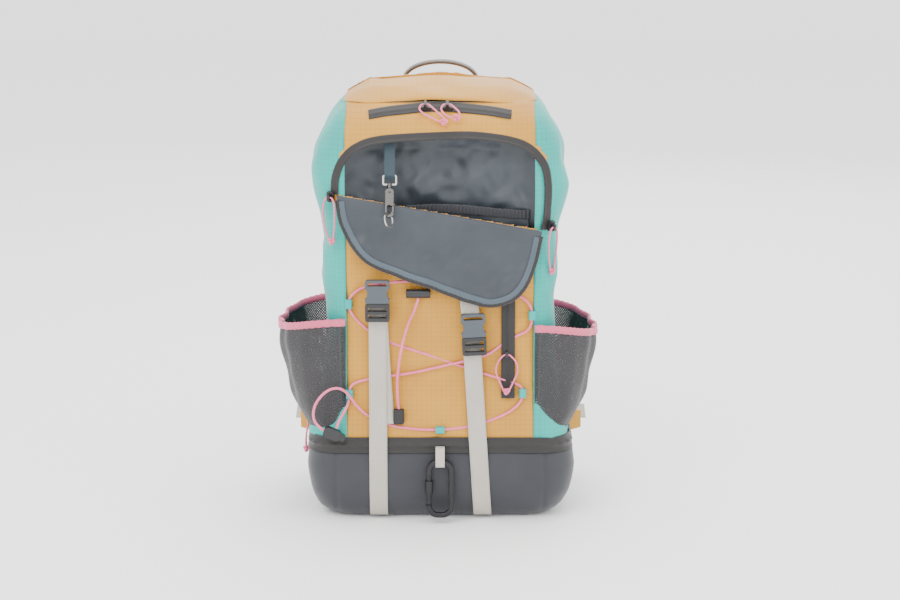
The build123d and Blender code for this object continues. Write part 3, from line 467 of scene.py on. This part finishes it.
def coil_rise(u, run):
    """A flat tape whose inner edge carries a coil of teeth 2.4 mm apart."""
    return 0.0016 * bump_at(u, 0.9, 0.13) * (1 + 0.45 * np.sin(run * math.tau / 0.0024)) + 0.0006


strip("mouth_zip", mouth_arch[::-1], 0.0085, coil_rise, black_tape, out=0.0008,
      replaces=["zip_tapes"], lean=0.72)
def middle_coil(height, reach, base):
    """The rise of a tape whose coil runs along its middle: a bell of teeth 2.4 mm apart."""
    return lambda u, run: height * bump_at(u, 0.5, reach) * (1 + 0.4 * np.sin(run * math.tau / 0.0024)) + base


side_line = through([(0.0755, 0.142), (0.0755, 0.197), (0.0755, 0.252)], 90)
strip("side_zip_cloth", side_line, 0.015, middle_coil(0.0016, 0.1, 0.0004), black_tape, out=0.0048,
      lean=0.5)
main_line = through([(-0.078, 0.4565), (-0.05, 0.4605), (0.0, 0.4640), (0.05, 0.4605), (0.078, 0.4565)], 140)
strip("main_zip_cloth", main_line, 0.009, middle_coil(0.0014, 0.14, 0.0003), black_tape, out=0.0020,
      lean=0.5)

# Behind the mouth hangs the pocket's slate lining, loose and creased, and an organiser
# with a ribbed elastic top.
x, z = lattice(-0.1215, 0.1215, 0.0018, 0.3255, 0.4385, 0.0018)
deep = np.clip(1 - (np.abs(x) / 0.119) ** 5, 0, 1) * np.clip((0.4375 - z) / 0.02, 0, 1) ** 0.5
half_here = sizes_at(z)[0]
rim = skin(arc_at_x(np.clip(x, -0.1215, 0.1215), z), z, -0.0022)[..., 1]
creases = 0.0042 * ripples(x * 0.6, z, 0.050, 51) + 0.0016 * ripples(x, z * 0.7, 0.022, 52)
y = rim + (0.0235 + creases) * deep
cloth("pocket_lining", np.stack([x, y, z], -1), np.stack([x, z], -1), lining_cloth,
      replaces=["front_pocket_lining"], inward=(0.0, 0.4, 0.38))


def organiser_y(x, z):
    """The organiser's front: it stands off the lining most in its middle and near its top."""
    return -0.0715 - 0.0022 * np.cos(x / 0.1 * math.pi / 2) * (z - 0.326) / 0.03


x, z = lattice(-0.0985, 0.0985, 0.0016, 0.327, 0.3475, 0.0016)
top_dip = 0.0035 * np.cos(x / 0.1 * math.pi) - 0.0015
z = 0.327 + (z - 0.327) * (1 + top_dip / 0.0205)
y = organiser_y(x, z) - 0.0008 * ripples(x, z, 0.03, 55)
cloth("organiser_cloth", np.stack([x, y, z], -1), np.stack([x, z], -1), lining_cloth,
      replaces=["organizer_pocket"], inward=(0.0, 0.4, 0.33))
x, z = lattice(-0.0985, 0.0985, 0.0008, 0.0, 0.010, 0.0012)
top_dip = 0.0035 * np.cos(x / 0.1 * math.pi) - 0.0015
z = 0.3462 + z + top_dip
y = organiser_y(x, z) - 0.0007 * np.sin(x * math.tau / 0.0042) - 0.001
cloth("organiser_elastic", np.stack([x, y, z], -1), np.stack([x, z], -1), slate,
      inward=(0.0, 0.4, 0.33))

# The pocket's front hangs open as a flap. Its slate inner face shows, creased, with a
# paler binding and the zip's other row of teeth along its free edge.
flap_edge = through([
    (-0.113, 0.3705), (-0.106, 0.336), (-0.0825, 0.300), (-0.044, 0.2815), (-0.011, 0.2700),
    (0.033, 0.2535), (0.0605, 0.2490), (0.086, 0.2600), (0.102, 0.2880), (0.112, 0.3305),
], 200)
flap_top = through([(-0.113, 0.3705), (-0.04, 0.3578), (0.04, 0.3435), (0.112, 0.3305)], 200)


def flap_y(x, z):
    """The flap's outer face: it rolls out over the fold, then falls and swings out low."""
    fold_z = 0.3505 - 0.1778 * (x + 0.0005)
    fall = np.clip((fold_z - z) / 0.09, 0, 1.1)
    roll = 0.0042 * np.sqrt(np.clip(fall * 6, 0, 1)) + 0.002 * fall
    folds = 0.0026 * ripples(x * 0.8, z, 0.050, 61) + 0.0010 * ripples(x, z, 0.022, 62)
    return -0.0885 - roll - folds * np.clip(fall * 2, 0, 1)


share, drop = lattice(0.0, 1.0, 1 / 199, 0.0, 1.0, 1 / 70)
top = flap_top[:, None, :]
low = flap_edge[:, None, :]
flat = top + (low - top) * drop[..., None] ** 0.92
flap_points = np.stack([flat[..., 0], flap_y(flat[..., 0], flat[..., 1]), flat[..., 1]], -1)
cloth("flap_cloth", flap_points, flat, lining_cloth, body="front_flap", replaces=["front_flap"],
      inward=(0.0, 0.5, 0.31), thick=0.0016)
bind_tape = woven("slate_binding", (0.030, 0.045, 0.060), (0.085, 0.115, 0.145), pitch=0.0014, sheen=0.3)
strip("flap_binding", flap_edge[4:-4], 0.0068, lambda u, run: 0.0009 + 0.0005 * np.sin(u * math.pi),
      bind_tape, body="front_flap", y=flap_y, lean=-0.12)
strip("flap_zip", flap_edge[3:-3], 0.0042, lambda u, run: 0.0008 + 0.0012 * np.sin(u * math.pi)
      * (1 + 0.5 * np.sin(run * math.tau / 0.0024)), black_tape, body="front_flap",
      y=flap_y, lean=0.55)

# The hood is a yellow lid that zips to the front and sides. Its front edge arches up as
# a rolled lip over the zip, and behind it a yoke carries the handle.
share, climb = lattice(0.0, 1.0, 1 / 220, 0.0, 1.0, 1 / 46)
for name, node, body, lowest in (
    ("hood_cloth", "hood", "hood", 0.4672),
    ("yoke_cloth", "hood_yoke", "pack", 0.4676),
):
    z = lowest + (0.482 - lowest) * np.clip(climb * 2, 0, 1)
    arc = (share * 2 - 1) * full_arc(z)
    ring = skin(arc, z, 0.0012)
    inner = np.clip(climb * 2 - 1, 0, 1)[..., None]
    centre = np.array([0.0, 0.035, 0.0])
    lip = np.exp(-(ring[..., 0] / 0.062) ** 2) * (ring[..., 1] < 0.0) * (body == "hood")
    ring[..., 1] -= 0.0085 * lip * np.sin(np.clip(climb * 2, 0, 1) * math.pi)
    ring[..., 2] += 0.0030 * lip * (1 - np.clip(climb * 2, 0, 1))
    flat = centre + (ring - centre) * (1 - inner) * np.array([1.0, 1.0, 0.0])
    dome = 0.4815 + 0.0062 * (1 - (1 - inner[..., 0]) ** 2) * np.exp(-(flat[..., 0] / 0.07) ** 2)
    points = np.where(inner > 0, np.stack([flat[..., 0], flat[..., 1], dome], -1), ring)
    points[..., 2] += 0.0008 * ripples(points[..., 0], points[..., 1], 0.05, 71)
    if body == "hood":
        points[..., 1] = np.minimum(points[..., 1], 0.0697)
    else:
        points[..., 1] = np.maximum(points[..., 1], 0.0700)
    grain = np.stack([points[..., 0], points[..., 1] * 0.7 + points[..., 2]], -1)
    cloth(name, points, grain, yellow, body=body, replaces=[node],
          inward=(0.0, 0.035, 0.44), thick=0.001)


# The straps are 20 mm grey webbing down the front. They pass over the lacing and are
# tight on the base.
def webbing(name, dark=(0.33, 0.30, 0.26), light=(0.56, 0.52, 0.455)):
    """Webbing: bold ribs along it and fine picks across."""
    material, shader, start = finish_of(name, 0.7, sheen=0.3)
    grain = start.node("UVMap", {}, uv_map="cloth")
    across = start.node("SeparateXYZ", {0: grain}, out=0)
    along = start.node("SeparateXYZ", {0: grain}, out=1)
    ribs = (across * (math.tau / 0.0022)).sine() * 0.5 + 0.5
    picks = (along * (math.tau / 0.0013) + across * 900.0).sine() * 0.5 + 0.5
    fade = start.node("TexNoise", {"Vector": grain, "Scale": 22.0, "Detail": 3.0})
    tint = ribs * 0.35 + picks * 0.2 + fade * 0.6 - 0.05
    colour = start.node(
        "Mix", {0: tint, 6: (*dark, 1.0), 7: (*light, 1.0)}, out=2, data_type="RGBA", clamp_factor=True
    )
    join(shader, "Base Color", colour)
    join(shader, "Normal", start.node("Bump", {"Height": ribs * 0.6 + picks * 0.4, "Strength": 0.6,
                                               "Distance": 0.0005}))
    return material


grey_webbing = webbing("grey_webbing")


def band(name, line, width, material, body="pack", replaces=(), thick=0.0014, sag=0.0, across=9,
         wide=(1.0, 0.0, 0.0), inward=None):
    """Flat webbing: a line in space, widened along one direction, its middle sagging."""
    line = np.asarray(line, float)
    wide = np.asarray(wide, float)
    u = np.linspace(-0.5, 0.5, across)
    run = np.concatenate([[0], np.cumsum(np.linalg.norm(np.diff(line, axis=0), axis=1))])
    points = line[:, None, :] + wide * u[None, :, None] * width
    points[..., 1] += sag * (4 * u[None, :] ** 2)
    grain = np.stack([(u[None, :] + 0.5) * width + 0 * run[:, None], run[:, None] + 0 * u[None, :]], -1)
    return cloth(name, points, grain, material, body=body, replaces=replaces, thick=thick,
                 inward=inward)


def strap_line(top_x, low_x, top_z, count=120):
    """The front strap's outer face from its buckle to the base: flat over the lacing."""
    route = through([
        (top_z, 0.0886), (top_z - 0.030, 0.0893), (0.200, 0.0897), (0.165, 0.0905), (0.128, 0.0920),
        (0.108, 0.0952), (0.089, 0.0977), (0.060, 0.0975), (0.030, 0.0945), (0.012, 0.0885), (0.0035, 0.0795),
    ], count)
    z = route[:, 0]
    x = top_x + (low_x - top_x) * (top_z - z) / top_z
    return np.stack([x, -route[:, 1], z], -1)


left_strap = strap_line(-0.069, -0.069, 0.252)
right_strap = strap_line(0.0345, 0.048, 0.214)
band("left_strap", left_strap, 0.020, grey_webbing, replaces=["front_straps"],
     inward=(0.0, 0.4, 0.15))
band("right_strap", right_strap, 0.020, grey_webbing, inward=(0.0, 0.4, 0.15))
tail = left_strap[4:66] + np.array([0.0, 0.0013, 0.0])
tail[:, 0] += 0.0075 * np.linspace(0, 1, len(tail)) ** 1.3 + 0.0008
band("left_strap_tail", tail, 0.020, grey_webbing, inward=(0.0, 0.4, 0.15), thick=0.001)
upper = [(0.0335, -0.0905, 0.2385), (0.0325, -0.0890, 0.2470), (0.0315, -0.0868, 0.2560)]
band("right_strap_top", through(upper, 14), 0.020, grey_webbing, inward=(0.0, 0.4, 0.2))


# Pink elastic cord laces the front and hangs from every zip. Each is one round cord.
def cord_finish(name, dark, light):
    """Braided cord: a fine crossed noise along the cord over a clear colour."""
    material, shader, start = finish_of(name, 0.55, sheen=0.35)
    place = start.node("TexCoord", {}, out=3)
    braid = start.node("TexVoronoi", {"Vector": place, "Scale": 900.0}, out=0)
    fade = start.node("TexNoise", {"Vector": place, "Scale": 60.0, "Detail": 2.0})
    tint = braid * 0.5 + fade * 0.7 - 0.1
    colour = start.node(
        "Mix", {0: tint, 6: (*dark, 1.0), 7: (*light, 1.0)}, out=2, data_type="RGBA", clamp_factor=True
    )
    join(shader, "Base Color", colour)
    join(shader, "Normal", start.node("Bump", {"Height": braid, "Strength": 0.35, "Distance": 0.0004}))
    return material


pink = cord_finish("pink_cord", (0.62, 0.07, 0.17), (0.90, 0.22, 0.36))


def lay_cord(name, route, diameter, body, replaces=(), material=pink):
    """A cord as one smooth spline whose control points are the route, in metres."""
    line = bpy.data.curves.new(name, "CURVE")
    line.dimensions = "3D"
    spline = line.splines.new("NURBS")
    spline.points.add(len(route) - 1)
    spline.points.foreach_set("co", np.c_[np.array(route) / 1000, np.ones(len(route))].ravel())
    spline.order_u = 3
    spline.use_endpoint_u = True
    line.bevel_depth = diameter / 2
    line.bevel_resolution = 4
    line.resolution_u = 10
    line.use_fill_caps = True
    line.materials.append(material)
    piece = bpy.data.objects.new(name, line)
    bpy.context.scene.collection.objects.link(piece)
    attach(piece, body)
    if replaces:
        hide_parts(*replaces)
    return piece


def tied_knot(name, place, radius, thick, body, material=pink):
    """An overhand knot drawn tight: a tube of that thickness carried along a trefoil."""
    t = np.linspace(0, math.tau, 90, endpoint=False)
    line = np.stack([np.sin(t) + 2 * np.sin(2 * t), 1.15 * -np.sin(3 * t), np.cos(t) - 2 * np.cos(2 * t)], -1)
    line *= radius / 3
    ahead = np.roll(line, -1, 0) - np.roll(line, 1, 0)
    ahead /= np.linalg.norm(ahead, axis=1)[:, None]
    side = np.cross(ahead, np.array([0.0, 1.0, 0.0]) + 0.01)
    side /= np.linalg.norm(side, axis=1)[:, None]
    other = np.cross(ahead, side)
    turn = np.linspace(0, math.tau, 9)[None, :, None]
    points = line[:, None] + thick / 2 * (np.cos(turn) * side[:, None] + np.sin(turn) * other[:, None])
    points = points + np.array(place)
    grain = np.zeros(points.shape[:2] + (2,))
    return cloth(name, points, grain, material, body=body, thick=0.0, inward=place, loop=True)


lacing_route = [
    (-115.4, -99.8, 109.8), (-112.5, -97.5, 118.5), (-106, -91.6, 128), (-101.2, -85.9, 137.5),
    (-101, -85.6, 155), (-90, -85.2, 161), (-62, -86.0, 166),
    (-30, -86.0, 170), (2, -85.9, 178), (30, -85.9, 184), (54, -85.0, 191),
    (66, -83.8, 200), (84, -83.8, 212), (96, -83.0, 216), (102, -82.2, 225),
    (102, -82.2, 245), (88, -82, 258), (60, -82, 266), (25, -82, 270), (-12, -82, 274),
    (-50, -82, 273), (-84, -82, 268), (-101, -82.2, 256), (-101, -82.2, 240),
    (-86, -82.2, 222), (-58, -82, 204), (-25, -82.4, 194), (10, -83.1, 182),
    (42, -83.9, 171), (66, -86.6, 164), (86, -86.3, 158), (92, -85.2, 152),
    (92, -85.6, 140), (82, -86.9, 128), (62, -88.2, 118), (36, -90.6, 110),
    (6, -91.6, 106.1), (-26, -91.4, 106.2), (-58, -90.2, 111), (-82, -88.3, 122),
    (-93, -90.5, 133), (-99, -92, 143), (-105, -93.5, 151), (-113, -95, 155.5),
    (-123, -96.5, 154), (-132, -98, 147), (-139, -99, 137), (-141.5, -99.5, 125),
    (-138, -99.8, 114), (-129.5, -99.8, 108),
]
lacing = lay_cord("lacing", lacing_route, 0.003, "pack", replaces=["bungee_cord"])
middle_route = [
    (-46, -92, 130.3), (-48, -91.6, 149), (-47, -91.4, 172), (-43, -91, 200),
    (-36, -90.4, 226), (-27, -89.6, 244), (-24, -89.2, 255.7),
]
middle_cord = lay_cord("middle_cord", middle_route, 0.003, "pack", replaces=["center_bungee"])
pull_routes = {
    "pocket_left": [
        (-120.2, -83.1, 316.4), (-126.0, -83.1, 330.4), (-127.9, -84.4, 344.4),
        (-128.0, -86.6, 358.4), (-125.9, -87.9, 365.9), (-123.4, -89.3, 368.4),
        (-118.9, -92.0, 368.4), (-116.4, -93.5, 365.9), (-115.2, -94.3, 358.4),
        (-115.0, -92.0, 344.4), (-116.1, -89.0, 330.4), (-117.2, -84.9, 316.4),
    ],
    "pocket_right": [
        (122.5, -72.5, 280.3), (120.5, -78.5, 294.3), (119.2, -85.1, 310.3),
        (119.7, -89.3, 324.3), (121.4, -88.7, 331.8), (123.2, -86.4, 334.3),
        (126.4, -82.3, 334.3), (128.1, -80.0, 331.8), (129.5, -76.6, 324.3),
        (128.9, -72.4, 310.3), (127.2, -69.8, 294.3), (124.7, -69.7, 280.3),
    ],
    "main_left": [
        (4.0, -78.1, 448.2), (-8.0, -78.1, 453.2), (-18.0, -74.1, 458.2),
        (-23.0, -69.1, 462.2), (-21.5, -65.5, 465.8), (-18.6, -63.1, 467.2),
        (-13.4, -63.1, 467.2), (-10.5, -65.5, 465.8), (-6.0, -69.1, 462.2),
        (-1.0, -74.1, 458.2), (4.0, -78.1, 454.2), (8.0, -79.1, 449.2),
    ],
    "main_right": [
        (17.0, -78.1, 453.2), (10.0, -78.1, 454.2), (3.0, -74.1, 459.2),
        (1.0, -69.1, 463.2), (2.5, -65.5, 465.8), (5.4, -63.1, 467.2),
        (10.6, -63.1, 467.2), (13.5, -65.5, 465.8), (16.0, -69.1, 464.2),
        (20.0, -74.1, 461.2), (22.0, -78.1, 458.2), (20.5, -79.1, 454.2),
    ],
    "side_zip": [
        (72.0, -93.2, 148.5), (66.0, -92.7, 161.5), (61.0, -90.2, 173.5),
        (64.0, -88.2, 183.5), (68.5, -88.2, 189.0), (71.4, -88.2, 191.5),
        (76.6, -88.2, 191.5), (79.5, -88.2, 189.0), (84.0, -88.2, 184.5),
        (87.0, -90.2, 174.5), (82.0, -92.7, 162.5), (75.0, -93.2, 148.5),
    ],
    "base_zip": [
        (-158.6, 42.0, 45.0), (-159.6, 47.0, 56.0), (-158.6, 48.0, 69.0),
        (-155.6, 47.0, 80.0), (-155.6, 45.5, 86.5), (-155.6, 42.6, 89.0),
        (-155.6, 37.4, 89.0), (-155.6, 34.5, 86.5), (-155.6, 33.0, 80.0),
        (-157.6, 33.0, 69.0), (-159.6, 35.0, 56.0), (-158.6, 39.5, 45.0),
    ],
}
for key, route in pull_routes.items():
    body = key + ("_runner" if "zip" in key else "_zip_runner")
    pull = lay_cord(f"{key}_cord", route, 0.002, body, replaces=[f"{key}_pull"])
    low = (np.array(route[0]) + np.array(route[-1])) / 2000
    second = (np.array(route[1]) + np.array(route[-2])) / 2000
    knot = tied_knot(f"{key}_knot", low + (second - low) * 0.18, 0.0034, 0.0024, body)


# The side pockets are black stretch mesh with pink folded elastic along their tops.
def mesh_cloth(name):
    """Open mesh: rows of small holes, each row set half a hole along, let light through."""
    material, shader, start = finish_of(name, 0.7, sheen=0.2)
    grain = start.node("UVMap", {}, uv_map="cloth")
    along = start.node("SeparateXYZ", {0: grain}, out=0)
    up = start.node("SeparateXYZ", {0: grain}, out=1)
    pitch = math.tau / 0.0034
    holes = ((along * pitch).sine() * (up * pitch).sine()) * 0.5 + 0.5
    fade = start.node("TexNoise", {"Vector": grain, "Scale": 16.0, "Detail": 3.0})
    colour = start.node(
        "Mix", {0: fade * 0.7 + holes * 0.4, 6: (0.008, 0.008, 0.009, 1.0), 7: (0.055, 0.052, 0.056, 1.0)},
        out=2, data_type="RGBA", clamp_factor=True,
    )
    join(shader, "Base Color", colour)
    join(shader, "Alpha", 1.0 - (holes > 0.80) * 0.85)
    join(shader, "Normal", start.node("Bump", {"Height": holes, "Strength": 0.5, "Distance": 0.0006}))
    return material


stretch_mesh = mesh_cloth("stretch_mesh")
pink_band = woven("pink_elastic", (0.50, 0.06, 0.13), (0.85, 0.17, 0.29), pitch=0.0022, depth=0.7)
for side, name, top in ((-1.0, "left", 0.221), (1.0, "right", 0.214)):
    low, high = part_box(f"mesh_pocket_{name}")
    inner_x, outer_x = (abs(high[0]), abs(low[0])) if side < 0 else (abs(low[0]), abs(high[0]))
    front_y, back_y = low[1], high[1]
    angle, climb = lattice(0.0, 1.0, 1 / 110, 0.0, 1.0, 1 / 60)
    swell = 0.62 + 0.38 * np.sin(np.clip(climb, 0, 1) * math.pi * 0.5) ** 0.8
    reach = (outer_x - inner_x) * swell
    bow = np.sin(angle * math.pi)
    x = inner_x + reach * np.clip(bow, 0, 1) ** 0.62
    y = (front_y + back_y) / 2 - (back_y - front_y) / 2 * np.cos(angle * math.pi) * (0.985 - 0.02 * climb)
    z = low[2] + (top - low[2]) * climb - 0.007 * bow * climb + 0.004 * np.cos(angle * math.pi * 2) * climb
    folds = 0.0022 * np.sin(angle * 46.0 + 2.0 * climb) * climb * bow + 0.0016 * ripples(y, z, 0.05, 81)
    x = np.minimum(x + folds * bow, outer_x + 0.002)
    points = np.stack([side * x, y, z], -1)
    cloth(f"mesh_pocket_cloth_{name}", points, np.stack([angle * 0.26, z], -1), stretch_mesh,
          replaces=[f"mesh_pocket_{name}"], thick=0.0009)
    rim = points[:, -1]
    turn = np.linspace(0, math.tau, 13)
    ahead = np.gradient(rim, axis=0)
    ahead /= np.linalg.norm(ahead, axis=1)[:, None]
    out = np.cross(ahead, np.array([0.0, 0.0, 1.0]))
    out /= np.linalg.norm(out, axis=1)[:, None]
    gather = 1 + 0.10 * np.sin(np.arange(len(rim)) * 1.9)[:, None]
    ring = rim[:, None] + np.array([0, 0, 1.0]) * (0.0042 * np.sin(turn) * gather)[..., None] \
        + out[:, None] * (0.0021 * np.cos(turn) * gather)[..., None] + np.array([0, 0, 0.002])
    steps = np.arange(len(rim))[:, None]
    grain = np.stack([steps * 0.0024 + 0 * turn, turn[None] * 0.001 + 0 * ring[..., 0]], -1)
    cloth(f"pocket_elastic_{name}", ring, grain, pink_band, replaces=["pocket_bindings"] if side < 0 else (),
          thick=0.0, inward=(0.0, 0.0, 0.0))


# The handle is a bound strap arched over the yoke, with a tan lining inside the arch.
handle_low, handle_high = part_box("carry_handle")
angle, across = lattice(0.0, math.pi, math.pi / 80, 0.0, 1.0, 1 / 16)
shape = np.abs(across * 2 - 1)
lift = (handle_high[2] - handle_low[2] - 0.003) * np.sin(angle) ** 0.72
mid_y = (handle_low[1] + handle_high[1]) / 2 - 0.003
for name, inset, material, slot in (
    ("handle_cloth", 0.0, woven("handle_cloth", (0.06, 0.05, 0.045), (0.17, 0.145, 0.125), pitch=0.0018),
     "padding"),
    ("handle_lining", 0.0030, woven("tan_mesh", (0.30, 0.14, 0.05), (0.62, 0.34, 0.15), pitch=0.0022),
     "padding"),
):
    x = -(0.0455 - inset) * np.cos(angle)
    z = handle_low[2] + lift * (1 - inset * 28) + 0.0012 * (1 - shape ** 2)
    y = mid_y + (across - 0.5) * (0.020 - inset)
    cloth(name, np.stack([x, y, z], -1), np.stack([angle * 0.045, across * 0.02], -1), material,
          body="carry_handle", replaces=["carry_handle"] if inset == 0 else (),
          thick=0.0022 if inset == 0 else 0.0008, inward=(0.0, 0.095, 0.44))

# The shoulder straps are curved foam pads in black spacer mesh, crowned and thin at
# their edges.
for side, name in ((-1.0, "left"), (1.0, "right")):
    line = through([(0.0935, 0.448), (0.118, 0.428), (0.140, 0.395), (0.1485, 0.350), (0.143, 0.295),
                    (0.127, 0.245), (0.108, 0.207)], 90)
    ahead = np.gradient(line, axis=0)
    ahead /= np.linalg.norm(ahead, axis=1)[:, None]
    out = np.stack([-ahead[:, 1], ahead[:, 0]], -1) * -1
    turn = np.linspace(0, math.tau, 41)
    taper = (0.60 + 0.40 * np.sin(np.linspace(0.12, 0.95, 90) * math.pi) ** 0.7)[:, None]
    ends = np.clip(np.sin(np.linspace(0.0, 1.0, 90) * math.pi) * 14, 0, 1)[:, None] ** 0.5
    wide = 0.031 * taper * np.sign(np.cos(turn)) * np.abs(np.cos(turn)) ** 0.8
    deep = 0.0058 * ends * np.sign(np.sin(turn)) * np.abs(np.sin(turn)) ** 0.75
    x = side * 0.068 + wide
    y = line[:, :1] + out[:, :1] * deep
    z = line[:, 1:] + out[:, 1:] * deep
    points = np.stack([x, y, z], -1)
    cloth(f"shoulder_pad_{name}", points, np.stack([wide, z], -1), padded_cloth,
          replaces=["shoulder_straps"] if side < 0 else (), thick=0.0,
          inward=(side * 0.068, 0.10, 0.33))

# The small fittings are the shaped solids themselves, in plastic, metal and webbing.
def plain(name, colour, roughness, metallic=0.0, coat=0.0):
    """A moulded or metal finish with a faint uneven gloss."""
    material, shader, start = finish_of(name, roughness, metallic, coat=coat)
    place = start.node("TexCoord", {}, out=3)
    haze = start.node("TexNoise", {"Vector": place, "Scale": 220.0, "Detail": 3.0})
    shader.inputs["Base Color"].default_value = (*colour, 1.0)
    join(shader, "Roughness", haze * 0.18 + (roughness - 0.09))
    return material


finishes = {
    "black_plastic": plain("black_acetal", (0.014, 0.014, 0.016), 0.38),
    "grey_plastic": plain("grey_acetal", (0.055, 0.070, 0.085), 0.42),
    "black_rubber": plain("black_rubber", (0.013, 0.012, 0.012), 0.6),
    "black_aluminium": plain("black_anodised", (0.028, 0.028, 0.031), 0.32, metallic=0.7),
    "dark_steel": plain("dark_nickel", (0.10, 0.095, 0.09), 0.28, metallic=1.0),
    "bright_steel": plain("bright_nickel", (0.58, 0.56, 0.53), 0.24, metallic=1.0),
    "stiff_sheet": plain("sheet_plastic", (0.10, 0.10, 0.10), 0.5),
    "teal_webbing": plain("teal_loops", (0.005, 0.36, 0.33), 0.6),
    "grey_webbing": plain("grey_webbing_plain", (0.46, 0.42, 0.37), 0.75),
    "slate_webbing": plain("slate_tab", (0.025, 0.045, 0.060), 0.75),
    "lining_fabric": plain("inner_lining", (0.07, 0.085, 0.105), 0.6),
    "yellow_fabric": plain("yellow_tab", (0.75, 0.38, 0.05), 0.7),
}
for part in frame["record"]["subparts"]:
    node = frame["nodes"][part["node"]]
    finish = finishes.get(part["material_slot"])
    if finish and not node.hide_render:
        node.data.materials.clear()
        node.data.materials.append(finish)

# The floor is wide, pale and plain.
bpy.ops.mesh.primitive_plane_add(size=12.0, location=(0.0, 0.0, 0.0))
floor = bpy.context.active_object
floor.name = "floor"
floor_finish, floor_shader, _ = finish_of("pale_floor", 0.75)
floor_shader.inputs["Base Color"].default_value = (0.98, 0.98, 0.98, 1.0)
floor.data.materials.append(floor_finish)
